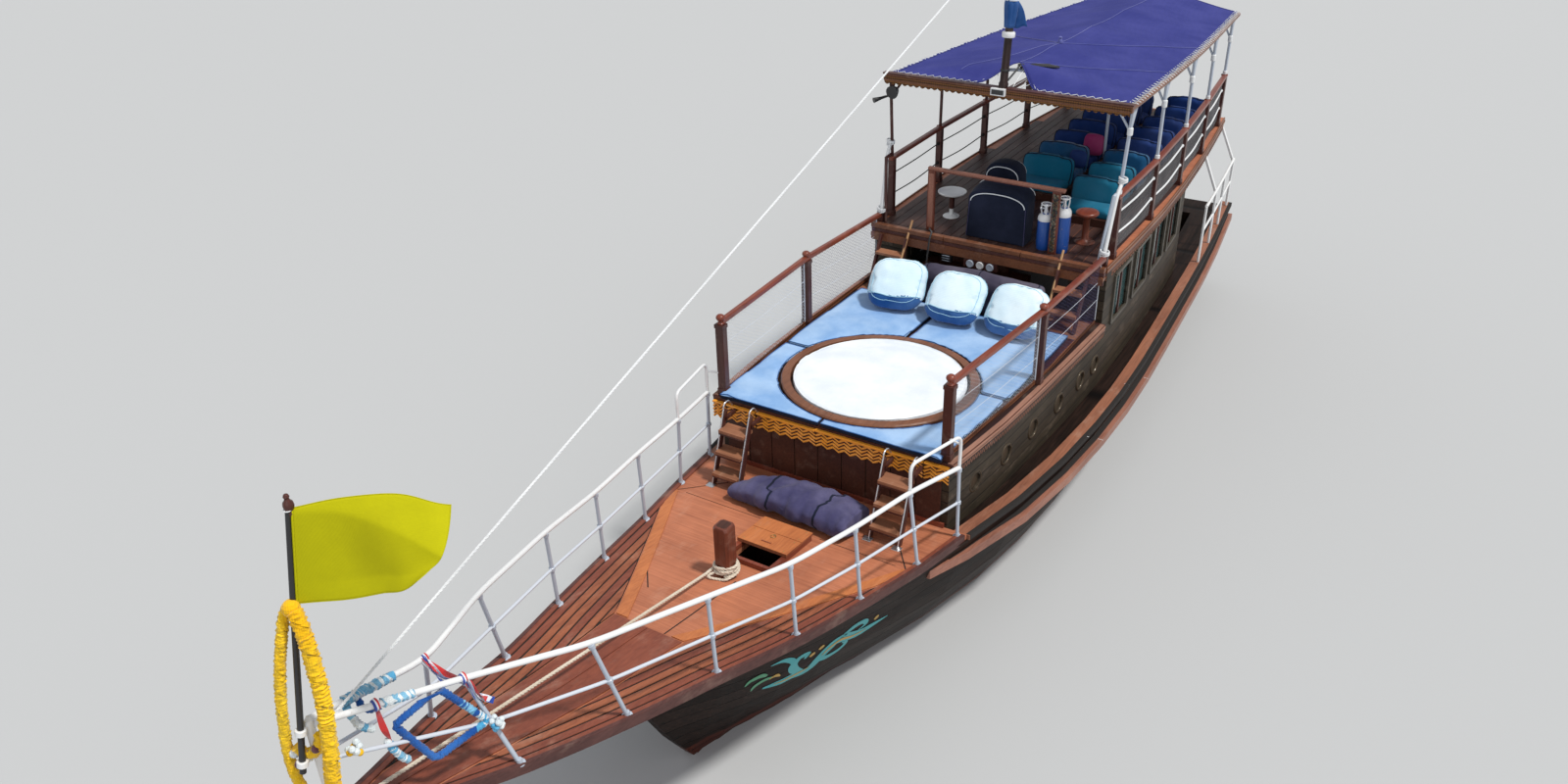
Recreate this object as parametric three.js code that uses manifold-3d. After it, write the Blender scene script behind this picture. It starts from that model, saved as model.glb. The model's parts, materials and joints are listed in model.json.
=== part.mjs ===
// Classic wooden sailboat: decked hull with keel, beak foredeck, low forward cabin with a sun deck,
// saloon under an upper deck, awning on posts, mast on the awning's front beam.
// Millimetres. +X to the bow, +Y to port, +Z up. The origin is on the waterline amidships.
import * as THREE from 'three';
import { mergeVertices } from 'three/addons/utils/BufferGeometryUtils.js';
import Module from 'manifold-3d';

const wasm = await Module();
wasm.setup();

// Driving dimensions

const GAP = 0.3;                 // running gap between pieces that touch
const CABIN_FRONT_X = 2330;      // front wall of the forward cabin
const SALOON_FRONT_X = -1750;    // aft end of the sun deck, front wall of the saloon
const SALOON_AFT_X = -5900;      // aft bulkhead of the saloon
const STEM_HEAD_X = 6330;        // stem under the foredeck
const KEEL_WIDTH = 160;
const KEEL_HALF = 60;            // half-breadth of the hull at its bottom line
const DECK_THICK = 60;           // cap rails and foredeck
const WALL_THICK = 60;           // cabin and saloon walls
const SUN_DECK_THICK = 90;
const UPPER_DECK_TOP = 2980;
const UPPER_DECK_THICK = 90;
const CABIN_FLOOR_Z = 850;
const SUN_DECK_Z = 2350;         // sun deck at its front posts
const SUN_DECK_SLOPE = 0.034;    // rise towards the bow
const SUN_POST_X = 2300;
const UPPER_RAIL_Z = 3830;       // top of the wooden rail of the upper deck
const EAVE_FRONT_Z = 4950;       // awning edge at the front and rear
const EAVE_REAR_Z = 4700;
const AWNING_FRONT_X = -2040;
const AWNING_REAR_X = -8670;
const AWNING_CROWN = 200;
const SHAFT_Z = -780;            // propeller shaft
const PROPELLER_X = -7650;
const RUDDER_X = -8330;          // rudder axis

// Hull stations. t runs from the bottom line (0) to the deck edge (1), yNN is the half-breadth at NN/100.
// x, bottom z, deck edge z, y100, y80, y60, y40, y20, y08
const HULL_ROWS = [
  [-8850, -120, 1420, 1600, 1500, 1370, 1180, 860, 430],
  [-7000, -420, 1340, 1760, 1670, 1540, 1350, 980, 490],
  [-4700, -640, 1290, 1900, 1800, 1680, 1500, 1110, 530],
  [-1750, -740, 1270, 2030, 1930, 1800, 1610, 1200, 570],
  [650, -740, 1340, 1940, 1830, 1700, 1500, 1070, 490],
  [2330, -690, 1440, 1680, 1560, 1420, 1180, 760, 320],
  [3600, -560, 1560, 1390, 1230, 1050, 820, 500, 210],
  [4500, -330, 1680, 1130, 940, 760, 580, 340, 150],
  [5200, 0, 1800, 800, 630, 470, 320, 180, 100],
  [5800, 1035, 1920, 420, 330, 250, 180, 110, 80],
  [6330, 1948, 2010, 110, 100, 95, 90, 80, 70],
];
const HULL_FRACTIONS = [1, 0.8, 0.6, 0.4, 0.2, 0.08];

// Outline of the foredeck: x, half-breadth, top z
const FOREDECK_ROWS = [
  [2330.3, 1660, 1500], [3140, 1540, 1550], [4010, 1360, 1650], [4890, 1180, 1790], [5810, 950, 1970],
  [6720, 720, 2140], [7700, 500, 2400], [8540, 230, 2620], [9050, 120, 2740],
];
// Outer face of the cabin and saloon walls: x, half-breadth
const WALL_ROWS = [
  [-8700, 1250], [-5900, 1480], [-4000, 1590], [-1750, 1640], [240, 1590], [1300, 1540], [2330, 1430],
];
const SUN_DECK_ROWS = [[-1750, 1700], [240, 1650], [1300, 1600], [2420, 1490]];
const UPPER_DECK_ROWS = [[-8700, 1290], [-6500, 1500], [-4000, 1640], [-1700, 1620]];
// Awning posts of one side: x, half-breadth
const UPPER_POSTS = [[-2080, 1570], [-3600, 1580], [-5130, 1530], [-6660, 1430], [-8190, 1290]];
// Stanchions of the bow pulpit: foot x, foot y, top x, top y, top z
const PULPIT_ROWS = [
  [2420, 1590, 2420, 1570, 2370],
  [3140, 1480, 3200, 1400, 2470],
  [4010, 1300, 4070, 1270, 2550],
  [4890, 1120, 4930, 1100, 2640],
  [5810, 890, 5850, 880, 2840],
  [6720, 660, 6940, 580, 3040],
  [7700, 460, 7830, 190, 3225],
];
const PORTHOLES = [[1760, 1790], [1060, 1770], [340, 1740], [-430, 1700], [-1130, 1680], [-1640, 1670]];
const SALOON_WINDOWS = [-2450, -3350, -4250, -5150];

// Interpolation

// Smooth curve through rows of [x, value]
function smooth(rows) {
  const slope = rows.map((row, i) => {
    const a = rows[Math.max(i - 1, 0)];
    const b = rows[Math.min(i + 1, rows.length - 1)];
    return (b[1] - a[1]) / (b[0] - a[0]);
  });
  return (x) => {
    let i = rows.findIndex((row, k) => k + 1 < rows.length && x <= rows[k + 1][0]);
    if (i < 0) i = rows.length - 2;
    const span = rows[i + 1][0] - rows[i][0];
    const t = Math.min(Math.max((x - rows[i][0]) / span, 0), 1);
    const u = 1 - t;
    return rows[i][1] * u * u * (1 + 2 * t) + rows[i + 1][1] * t * t * (3 - 2 * t)
      + span * t * u * (slope[i] * u - slope[i + 1] * t);
  };
}

const column = (rows, k) => smooth(rows.map((row) => [row[0], row[k]]));
const hullBottom = column(HULL_ROWS, 1);
const hullSheer = column(HULL_ROWS, 2);
const hullBreadths = HULL_FRACTIONS.map((_, k) => column(HULL_ROWS, 3 + k));
const foredeckY = column(FOREDECK_ROWS, 1);
const foredeckTop = column(FOREDECK_ROWS, 2);
const wallY = column(WALL_ROWS, 1);
const sunDeckY = column(SUN_DECK_ROWS, 1);
const upperDeckY = column(UPPER_DECK_ROWS, 1);
const sunDeckTop = (x) => SUN_DECK_Z + (x - SUN_POST_X) * SUN_DECK_SLOPE;
const eaveZ = (x) => EAVE_FRONT_Z
  + (x - AWNING_FRONT_X) / (AWNING_REAR_X - AWNING_FRONT_X) * (EAVE_REAR_Z - EAVE_FRONT_Z);
const eaveY = smooth([[-8670, 1250], [-5500, 1500], [-2040, 1620]]);

const STATIONS = [
  -8850, -8250, -7400, -6500, -5900, -4800, -3700, -2700, -1750, -800, 240, 1300, 2330,
  3140, 4010, 4500, 4890, 5200, 5500, 5810, 6080, 6330,
];
const stationsBetween = (a, b) => [a, ...STATIONS.filter((x) => x > a + 1 && x < b - 1), b];
// The hull's top between stations is straight, so what lies on it uses the same straight lines
const deckLine = (x) => {
  const i = Math.max(STATIONS.findIndex((s) => s >= x), 1);
  const a = STATIONS[i - 1];
  const b = STATIONS[i];
  const t = (x - a) / (b - a);
  return hullSheer(a) * (1 - t) + hullSheer(b) * t;
};

// Geometry helpers

// Closed body through loops of points that lie in planes of constant x
function loft(loops) {
  const count = loops[0].length;
  const position = loops.flat().flat();
  const index = [];
  for (let i = 0; i + 1 < loops.length; i++) {
    for (let j = 0; j < count; j++) {
      const a = i * count + j;
      const b = i * count + (j + 1) % count;
      index.push(a, b, b + count, a, b + count, a + count);
    }
  }
  const flat = (loop) => loop.map((p) => new THREE.Vector2(p[1], p[2]));
  const area = (a, b, c) => (b.x - a.x) * (c.y - a.y) - (c.x - a.x) * (b.y - a.y);
  [[0, -1], [loops.length - 1, 1]].forEach(([k, side]) => {
    const contour = flat(loops[k]);
    const turn = THREE.ShapeUtils.area(contour) > 0 ? 1 : -1;
    THREE.ShapeUtils.triangulateShape(contour, []).forEach(([a, b, c]) => {
      const keep = area(contour[a], contour[b], contour[c]) * turn * side > 0;
      index.push(k * count + a, k * count + (keep ? b : c), k * count + (keep ? c : b));
    });
  });
  const geometry = new THREE.BufferGeometry();
  geometry.setAttribute('position', new THREE.Float32BufferAttribute(position, 3));
  geometry.setIndex(index);
  return geometry;
}

// Plate between two heights with a curved outline on both sides, yIn > 0 leaves only the port strip
function plate(xs, yOut, zLow, zHigh, yIn = (x) => -yOut(x)) {
  return loft(xs.map((x) => [
    [x, yIn(x), zLow(x)], [x, yOut(x), zLow(x)], [x, yOut(x), zHigh(x)], [x, yIn(x), zHigh(x)],
  ]));
}

function solid(geometry) {
  const bare = geometry.clone();
  bare.deleteAttribute('normal');
  bare.deleteAttribute('uv');
  const merged = mergeVertices(bare, 0.001);
  const vertProperties = new Float32Array(merged.attributes.position.array);
  const source = merged.index.array;
  const tri = [];
  let volume = 0;
  const p = (i) => new THREE.Vector3().fromArray(vertProperties, i * 3);
  for (let i = 0; i < source.length; i += 3) {
    const [a, b, c] = [source[i], source[i + 1], source[i + 2]];
    if (a === b || b === c || a === c) continue;
    tri.push(a, b, c);
    volume += p(a).dot(p(b).cross(p(c)));
  }
  if (volume < 0) for (let i = 0; i < tri.length; i += 3) [tri[i], tri[i + 1]] = [tri[i + 1], tri[i]];
  return new wasm.Manifold(new wasm.Mesh({ numProp: 3, vertProperties, triVerts: new Uint32Array(tri) }));
}

const asSolid = (shape) => (shape.isBufferGeometry ? solid(shape) : shape);
const join = (...shapes) => shapes.map(asSolid).reduce((a, b) => a.add(b));
const cut = (shape, ...tools) => tools.map(asSolid).reduce((a, b) => a.subtract(b), asSolid(shape));

function geometryOf(shape) {
  if (shape.isBufferGeometry) return shape;
  const mesh = shape.getMesh();
  const geometry = new THREE.BufferGeometry();
  geometry.setAttribute('position', new THREE.BufferAttribute(new Float32Array(mesh.vertProperties), 3));
  geometry.setIndex(new THREE.BufferAttribute(new Uint32Array(mesh.triVerts), 1));
  return geometry;
}

function block(x0, x1, y0, y1, z0, z1) {
  return new THREE.BoxGeometry(x1 - x0, y1 - y0, z1 - z0)
    .translate((x0 + x1) / 2, (y0 + y1) / 2, (z0 + z1) / 2);
}

// Round bar between two points
function rod(from, to, radius, sides = 6, radiusTo = radius) {
  const a = new THREE.Vector3(...from);
  const b = new THREE.Vector3(...to);
  const geometry = new THREE.CylinderGeometry(radiusTo, radius, a.distanceTo(b), sides);
  const turn = new THREE.Quaternion().setFromUnitVectors(
    new THREE.Vector3(0, 1, 0), b.clone().sub(a).normalize());
  return geometry.applyQuaternion(turn).translate(...a.add(b).multiplyScalar(0.5).toArray());
}

// Rectangular bar between two points, its width level
function bar(from, to, width, height) {
  const a = new THREE.Vector3(...from);
  const b = new THREE.Vector3(...to);
  const along = b.clone().sub(a).normalize();
  const side = new THREE.Vector3(0, 0, 1).cross(along).normalize();
  const up = along.clone().cross(side);
  const geometry = new THREE.BoxGeometry(a.distanceTo(b), width, height);
  return geometry.applyMatrix4(new THREE.Matrix4().makeBasis(along, side, up))
    .translate(...a.add(b).multiplyScalar(0.5).toArray());
}

// Round tube with mitred corners through points
function tube(points, radius, sides = 6) {
  const path = points.map((p) => new THREE.Vector3(...p));
  const along = path.slice(1).map((p, i) => p.clone().sub(path[i]).normalize());
  const start = Math.abs(along[0].z) < 0.9 ? new THREE.Vector3(0, 0, 1) : new THREE.Vector3(1, 0, 0);
  let side = start.clone().cross(along[0]).normalize();
  const position = [];
  path.forEach((p, i) => {
    const before = along[Math.max(i - 1, 0)];
    const after = along[Math.min(i, along.length - 1)];
    const up = before.clone().cross(side);
    const plane = before.clone().add(after).normalize();
    for (let k = 0; k < sides; k++) {
      const angle = (k + 0.5) / sides * 2 * Math.PI;
      const offset = side.clone().multiplyScalar(radius * Math.cos(angle))
        .addScaledVector(up, radius * Math.sin(angle));
      offset.addScaledVector(before, -offset.dot(plane) / before.dot(plane));
      position.push(...p.clone().add(offset).toArray());
    }
    side.applyQuaternion(new THREE.Quaternion().setFromUnitVectors(before, after));
  });
  const index = [];
  for (let i = 0; i + 1 < path.length; i++) {
    for (let k = 0; k < sides; k++) {
      const a = i * sides + k;
      const b = i * sides + (k + 1) % sides;
      index.push(a, b, b + sides, a, b + sides, a + sides);
    }
  }
  const last = (path.length - 1) * sides;
  for (let k = 1; k + 1 < sides; k++) index.push(0, k + 1, k, last, last + k, last + k + 1);
  const geometry = new THREE.BufferGeometry();
  geometry.setAttribute('position', new THREE.Float32BufferAttribute(position, 3));
  geometry.setIndex(index);
  return geometry;
}

// Profile in the x-z plane given a width across y
function profile(points, width) {
  const shape = new THREE.Shape(points.map((p) => new THREE.Vector2(...p)));
  return new THREE.ExtrudeGeometry(shape, { depth: width, bevelEnabled: false })
    .rotateX(Math.PI / 2).translate(0, width / 2, 0);
}

// Profile in the y-z plane given a length along x
function crossProfile(points, length) {
  const shape = new THREE.Shape(points.map((p) => new THREE.Vector2(...p)));
  return new THREE.ExtrudeGeometry(shape, { depth: length, bevelEnabled: false })
    .rotateX(Math.PI / 2).rotateZ(Math.PI / 2);
}

// Turned body from rows of [radius, z]
function turned(rows, sides = 24) {
  return new THREE.LatheGeometry(rows.map((p) => new THREE.Vector2(...p)), sides).rotateX(Math.PI / 2);
}

// Materials

const finish = (color, roughness, metalness = 0) =>
  new THREE.MeshStandardMaterial({ color, roughness, metalness });
const HULL_PAINT = finish(0x1c1512, 0.6);
const DARK_WOOD = finish(0x3a241c, 0.55);
const DECK_WOOD = finish(0xa5532f, 0.55);
const RAIL_WOOD = finish(0x6e2f20, 0.45);
const GOLD = finish(0xc8842a, 0.4);
const WHITE_PIPE = finish(0xd8d8dc, 0.35);
const WHITE_CLOTH = finish(0xf4f6f6, 0.85);
const BLUE_CLOTH = finish(0x6c9ad2, 0.8);
const NAVY_CLOTH = finish(0x10162a, 0.7);
const AWNING_CLOTH = finish(0x3d4790, 0.75);
const TEAL_CLOTH = finish(0x0d5a8a, 0.75);
const ROPE = finish(0xe3dccb, 0.85);
const YELLOW_CLOTH = finish(0xf5b800, 0.75);
const BRONZE = finish(0x9a7a45, 0.4, 0.9);
const CYLINDER_BLUE = finish(0x0f4f9c, 0.35);

const boat = new THREE.Group();
boat.name = 'classic_sailboat';

function add(name, shape, material, position = [0, 0, 0], parent = boat) {
  const geometry = geometryOf(shape);
  geometry.computeVertexNormals();
  const mesh = new THREE.Mesh(geometry, material);
  mesh.name = name;
  mesh.position.set(...position);
  parent.add(mesh);
  return mesh;
}

const mirrored = (geometry) => geometryOf(asSolid(geometry)).clone().scale(1, -1, 1);
const SIDES = [['port', 1], ['starboard', -1]];

function addPair(name, portShape, material) {
  const port = asSolid(portShape);
  add(`${name}_port`, port, material);
  add(`${name}_starboard`, solid(mirrored(port)), material);
}

// Hull, keel and well

function hullSection(x) {
  const low = hullBottom(x);
  const high = hullSheer(x);
  const side = HULL_FRACTIONS.map((t, k) => [hullBreadths[k](x), low + t * (high - low)]);
  side.push([KEEL_HALF, low]);
  const port = side.map(([y, z]) => [x, y, z]);
  const starboard = side.map(([y, z]) => [x, -y, z]).reverse();
  return [...starboard, ...port].reverse();
}

const KEEL_PROFILE = [
  [5290, 150], [4600, -600], [4150, -980], [3500, -1130], [-7350, -1330], [-8500, -1330], [-8500, -1230],
  [-7560, -1200], [-7420, -1080], [-7360, -880], [-7360, -250], [-6000, -300], [0, -600], [3600, -400],
  [4500, -150], [5240, 200],
];
const STOCK_RADIUS = 45;
const STOCK_TOP_Z = 330;
const HEEL_PIN_RADIUS = 28;
const SHAFT_RADIUS = 40;
const BEARING_SIDES = 24;
// Corner radius of a many-sided hole in which a many-sided pin turns freely
const bearing = (radius) => (radius + GAP) / Math.cos(Math.PI / BEARING_SIDES);
const wellY = (x) => wallY(x) - 210;
const HATCH = { x0: 3620, x1: 4100, y0: -160, y1: 320 };
const hullLoft = solid(loft(STATIONS.map(hullSection)));
const hull = cut(
  join(hullLoft, profile(KEEL_PROFILE, KEEL_WIDTH)),
  plate([-8250, -5900, -3700, -1750, 240, 1300, 2120], wellY, () => CABIN_FLOOR_Z, () => 3000),
  rod([RUDDER_X, 0, -400], [RUDDER_X, 0, STOCK_TOP_Z + 20], bearing(STOCK_RADIUS), BEARING_SIDES),
  rod([RUDDER_X, 0, -1290], [RUDDER_X, 0, -1150], bearing(HEEL_PIN_RADIUS), BEARING_SIDES),
  rod([-7700, 0, SHAFT_Z], [-7000, 0, SHAFT_Z], bearing(SHAFT_RADIUS), BEARING_SIDES),
  block(HATCH.x0, HATCH.x1, HATCH.y0, HATCH.y1, 1150, 2200),
);
add('hull', hull, HULL_PAINT);

// Rubbing strake: a heavy timber on the hull's side under the cap rail, fading out near the bow
const STRAKE_ROWS = [[-8850, 120], [-4700, 140], [650, 140], [1900, 110], [2900, 20]];
const strakeOut = smooth(STRAKE_ROWS);
const breadthAt = (x, z) => {
  const t = (z - hullBottom(x)) / (hullSheer(x) - hullBottom(x));
  let k = HULL_FRACTIONS.findIndex((f) => f <= t);
  if (k < 1) k = 1;
  const [a, b] = [HULL_FRACTIONS[k - 1], HULL_FRACTIONS[k]];
  const u = (a - t) / (a - b);
  return hullBreadths[k - 1](x) * (1 - u) + hullBreadths[k](x) * u;
};
const strakeTop = (x) => hullSheer(x) - 140;
const strakeRaw = plate(
  stationsBetween(-8850, 2900),
  (x) => breadthAt(x, strakeTop(x) - 60) + strakeOut(x),
  (x) => strakeTop(x) - 110,
  strakeTop,
  (x) => breadthAt(x, strakeTop(x) - 60) - 60,
);
SIDES.forEach(([side, sign]) => {
  const raw = solid(strakeRaw.clone().scale(1, sign, 1));
  add(`rubbing_strake_${side}`, raw.subtract(hullLoft.translate(0, sign * GAP, 0)), DECK_WOOD);
});

// Cap rail on the deck edge
const CAP_WIDTH = 185;
addPair('cap_rail', plate(
  stationsBetween(-8850, CABIN_FRONT_X),
  (x) => hullBreadths[0](x) + 15,
  (x) => hullSheer(x) + GAP,
  (x) => hullSheer(x) + DECK_THICK,
  (x) => hullBreadths[0](x) + 15 - CAP_WIDTH,
), DECK_WOOD);

// Foredeck with its beak

const foredeckXs = [2330.3, 3140, 4010, 4500, 4890, 5200, 5500, 5810, 6080, 6330, 6720, 7200, 7700, 8150,
  8540, 8900, 9050];
const foredeckLow = (x) => (x <= STEM_HEAD_X ? hullSheer(x) + GAP
  : hullSheer(STEM_HEAD_X) + GAP + foredeckTop(x) - foredeckTop(STEM_HEAD_X));
const foredeckHigh = (x) => Math.max(foredeckTop(x), foredeckLow(x) + DECK_THICK);
const hatchHole = block(HATCH.x0, HATCH.x1, HATCH.y0, HATCH.y1, 1000, 2400);
add('foredeck', cut(plate(foredeckXs, foredeckY, foredeckLow, foredeckHigh), hatchHole), DECK_WOOD);
const deckAt = (x) => {
  const i = Math.max(foredeckXs.findIndex((s) => s >= x), 1);
  const t = (x - foredeckXs[i - 1]) / (foredeckXs[i] - foredeckXs[i - 1]);
  return foredeckHigh(foredeckXs[i - 1]) * (1 - t) + foredeckHigh(foredeckXs[i]) * t;
};

// Beam under the beak, from the stem head to the tip
const beamXs = [STEM_HEAD_X + GAP, 6720, 7200, 7700, 8150, 8540, 8900];
add('beak_beam', plate(beamXs, () => 80, (x) => foredeckLow(x) - 60 - 170 * (8900 - x) / 2600,
  (x) => foredeckLow(x) - GAP), DARK_WOOD);

// Forward cabin: side walls and front wall, open to the saloon

const cabinXs = stationsBetween(SALOON_FRONT_X + GAP, CABIN_FRONT_X);
const cabinTop = (x) => sunDeckTop(x) - SUN_DECK_THICK - GAP;
const cabinOuter = plate(cabinXs, wallY, (x) => deckLine(x) + GAP, cabinTop);
const cabinInner = plate([-1760, 240, 1300, CABIN_FRONT_X - WALL_THICK], (x) => wallY(x) - WALL_THICK,
  () => 900, () => 2600);
const PORTHOLE_RADIUS = 100;
const portholeCuts = PORTHOLES.map(([x, z]) =>
  rod([x, -2000, z], [x, 2000, z], PORTHOLE_RADIUS, 12));
add('forward_cabin', cut(cabinOuter, cabinInner, ...portholeCuts), DARK_WOOD);

const sunDeckXs = [SALOON_FRONT_X + GAP, -800, 240, 1300, 2420];
add('sun_deck', plate(sunDeckXs, sunDeckY, (x) => sunDeckTop(x) - SUN_DECK_THICK, sunDeckTop), DARK_WOOD);
const FASCIA = { depth: 35, top: -8, height: 200 };
const fasciaX = 2420 + GAP;
add('gold_fascia', block(fasciaX, fasciaX + FASCIA.depth, -1470, 1470,
  sunDeckTop(2420) + FASCIA.top - FASCIA.height, sunDeckTop(2420) + FASCIA.top), GOLD);

// Bow ladders from the foredeck to the sun deck
const LADDER = { y: 1000, halfWidth: 170, footX: 2930, topX: 2640, topZ: 2360, treadZ: [1700, 1935, 2170] };
function bowLadder() {
  const footZ = deckAt(LADDER.footX) + GAP;
  const xAt = (z) => LADDER.footX + (z - footZ) / (LADDER.topZ - footZ) * (LADDER.topX - LADDER.footX);
  const stringers = [-1, 1].flatMap((s) => {
    const y = LADDER.y + s * LADDER.halfWidth;
    return [
      bar([xAt(footZ - 60), y, footZ - 60], [LADDER.topX, y, LADDER.topZ], 34, 60),
      bar([fasciaX + FASCIA.depth + GAP, y, 2270], [xAt(2270), y, 2270], 34, 40),
    ];
  });
  const treads = LADDER.treadZ.map((z) => block(xAt(z) - 90, xAt(z) + 90, LADDER.y - LADDER.halfWidth,
    LADDER.y + LADDER.halfWidth, z - 18, z + 18));
  const deckCut = plate(foredeckXs.slice(0, 4), () => 1500, () => 1000, (x) => foredeckHigh(x) + GAP);
  return cut(join(...stringers, ...treads), deckCut);
}
addPair('bow_ladder', bowLadder(), RAIL_WOOD);

// Side rails of the sun deck
const SUN_RAIL = [[SUN_POST_X, 1390, 3300], [240, 1550, 3240], [-1770, 1575, 3130]];
function sunRail() {
  const post = ([x, y, z]) => block(x - 38, x + 38, y - 38, y + 38, sunDeckTop(x - 38) + 3, z);
  const foot = block(-1820, -1740, 1540, 1610, UPPER_DECK_TOP + GAP, 3130);
  const rails = SUN_RAIL.slice(1).map((p, i) => bar(SUN_RAIL[i], p, 60, 55));
  const deckCut = plate([-1600, 240, 2400], () => 1700, () => 2000, (x) => sunDeckTop(x) + GAP);
  return cut(join(...SUN_RAIL.slice(0, 2).map(post), foot, ...rails,
    block(SUN_POST_X - 30, SUN_POST_X + 60, 1345, 1435, 3272, 3345)), deckCut);
}
addPair('sun_rail', sunRail(), RAIL_WOOD);

// Sun deck furniture: mattress around a round bed, pillows and bolster

const BED = { x: 1185, outer: 1150, inner: 1040, ringHeight: 90 };
const MATTRESS_THICK = 80;
const mattressY = smooth([[-1000, 1480], [240, 1480], [2380, 1335]]);
const mattress = cut(
  plate([-1050, 240, 1300, 2380], mattressY, (x) => sunDeckTop(x) + GAP,
    (x) => sunDeckTop(x) + MATTRESS_THICK),
  rod([BED.x, 0, 2000], [BED.x, 0, 3000], BED.outer + 10, 40),
);
add('sun_mattress', mattress, BLUE_CLOTH);
const bed = new THREE.Group();
bed.position.set(BED.x, 0, sunDeckTop(BED.x) + GAP);
bed.rotation.y = -Math.atan(SUN_DECK_SLOPE);
boat.add(bed);
add('bed_ring', turned([
  [BED.inner, 0], [BED.outer, 0], [BED.outer, BED.ringHeight - 15], [BED.outer - 15, BED.ringHeight],
  [BED.inner, BED.ringHeight], [BED.inner, 0],
], 40), RAIL_WOOD, [0, 0, 0], bed);
add('round_cushion', turned([[0, 0], [BED.inner - 3, 0], [BED.inner - 3, 70], [BED.inner - 60, 92],
  [0, 104]], 40), WHITE_CLOTH, [0, 0, 0], bed);

const PILLOW = { width: 780, height: 700, thick: 220, lean: 0.8, x: -715, ys: [-760, 60, 870] };
const mattressCut = plate([-1500, 240, 2380], () => 1600, () => 1900,
  (x) => sunDeckTop(x) + MATTRESS_THICK + GAP);
PILLOW.ys.forEach((y, i) => {
  const form = new THREE.BoxGeometry(PILLOW.thick, PILLOW.width, PILLOW.height, 1, 1, 1)
    .rotateY(-PILLOW.lean)
    .translate(PILLOW.x, y, sunDeckTop(PILLOW.x) + MATTRESS_THICK + 290);
  add(`pillow_${i + 1}`, cut(form, mattressCut), WHITE_CLOTH);
});
const BOLSTER = { x0: -1410, x1: -1120, y0: -690, y1: 1030, height: 600 };
add('bolster', plate([BOLSTER.x0, BOLSTER.x1], () => BOLSTER.y1, (x) => sunDeckTop(x) + GAP,
  (x) => sunDeckTop(x) + BOLSTER.height, () => BOLSTER.y0), NAVY_CLOTH);

// Saloon and wheelhouse walls

const saloonXs = stationsBetween(SALOON_AFT_X, SALOON_FRONT_X - GAP);
const saloonTop = UPPER_DECK_TOP - UPPER_DECK_THICK - GAP;
const saloonOuter = plate(saloonXs, wallY, (x) => deckLine(x) + GAP, () => saloonTop);
const saloonInner = plate([SALOON_AFT_X + WALL_THICK, -4000, SALOON_FRONT_X - WALL_THICK],
  (x) => wallY(x) - WALL_THICK, () => 900, () => 3200);
const WINDOW = { halfWidth: 330, low: 2060, high: 2740 };
const windowCuts = SALOON_WINDOWS.map((x) => block(x - WINDOW.halfWidth, x + WINDOW.halfWidth, -2000, 2000,
  WINDOW.low, WINDOW.high));
const FRONT_WINDOW = { halfWidth: 1150, low: 2330, high: 2830 };
const passage = block(-1900, -1700, -1350, 1350, 900, 2110);
const frontWindow = block(-1900, -1700, -FRONT_WINDOW.halfWidth, FRONT_WINDOW.halfWidth,
  FRONT_WINDOW.low, FRONT_WINDOW.high);
const aftDoor = block(-6000, -5800, -380, 380, 900, 2780);
add('saloon', cut(saloonOuter, saloonInner, ...windowCuts, frontWindow, passage, aftDoor), DARK_WOOD);

const DASH = { x0: -2160, x1: SALOON_FRONT_X - WALL_THICK - 2 * GAP, y0: -950, y1: 500, top: 2480 };
add('dashboard', join(
  block(DASH.x0, DASH.x1, DASH.y0, DASH.y1, CABIN_FLOOR_Z + GAP, DASH.top),
  block(DASH.x0, DASH.x0 + 60, DASH.y0 + 300, DASH.y1 - 300, DASH.top - 50, 2720),
), DARK_WOOD);
const WHEEL = { x: -2290, y: -225, z: 2080, radius: 330, rim: 20 };
const wheelParts = [
  new THREE.TorusGeometry(WHEEL.radius, WHEEL.rim, 5, 18).rotateY(Math.PI / 2),
  rod([-40, 0, 0], [WHEEL.x * -1 + DASH.x0 - GAP, 0, 0], 32, 12),
];
for (let i = 0; i < 6; i++) {
  const angle = i * Math.PI / 3;
  const reach = WHEEL.radius + 110;
  wheelParts.push(rod([0, 0, 0], [0, reach * Math.cos(angle), reach * Math.sin(angle)], 14, 5));
}
add('steering_wheel', join(...wheelParts), RAIL_WOOD, [WHEEL.x, WHEEL.y, WHEEL.z]);

// Upper deck

add('upper_deck', plate([-8700, -7600, -6500, -5200, -4000, -2800, -1700], upperDeckY,
  () => UPPER_DECK_TOP - UPPER_DECK_THICK, () => UPPER_DECK_TOP), DARK_WOOD);
const BEAM_FRONT_X = -1700 + GAP;
add('upper_deck_beam', join(
  block(BEAM_FRONT_X, BEAM_FRONT_X + 60, -1620, 1620, 2830, 3010),
  block(BEAM_FRONT_X + 50, BEAM_FRONT_X + 100, -1620, 1620, 2790, 2900),
), RAIL_WOOD);

// Short step ladders between the sun deck and the upper deck
const STEPS = { y: 1260, halfWidth: 190, footX: -1230, treadZ: [2440, 2690] };
function deckSteps() {
  const top = [BEAM_FRONT_X + 100 + GAP, 2860];
  const footZ = sunDeckTop(STEPS.footX);
  const xAt = (z) => STEPS.footX + (z - footZ) / (top[1] - footZ) * (top[0] + 40 - STEPS.footX);
  const stringers = [-1, 1].map((s) => bar([xAt(footZ - 80), STEPS.y + s * STEPS.halfWidth, footZ - 80],
    [xAt(2900), STEPS.y + s * STEPS.halfWidth, 2900], 34, 70));
  const treads = STEPS.treadZ.map((z) => block(xAt(z) - 70, xAt(z) + 70, STEPS.y - STEPS.halfWidth,
    STEPS.y + STEPS.halfWidth, z - 18, z + 18));
  const beamCut = block(-2200, top[0], -2000, 2000, 2000, 3300);
  const deckCut = plate([-1700, -800, 240], () => 1700, () => 1900, (x) => sunDeckTop(x) + GAP);
  return cut(join(...stringers, ...treads), beamCut, deckCut);
}
addPair('deck_steps', deckSteps(), RAIL_WOOD);

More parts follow.
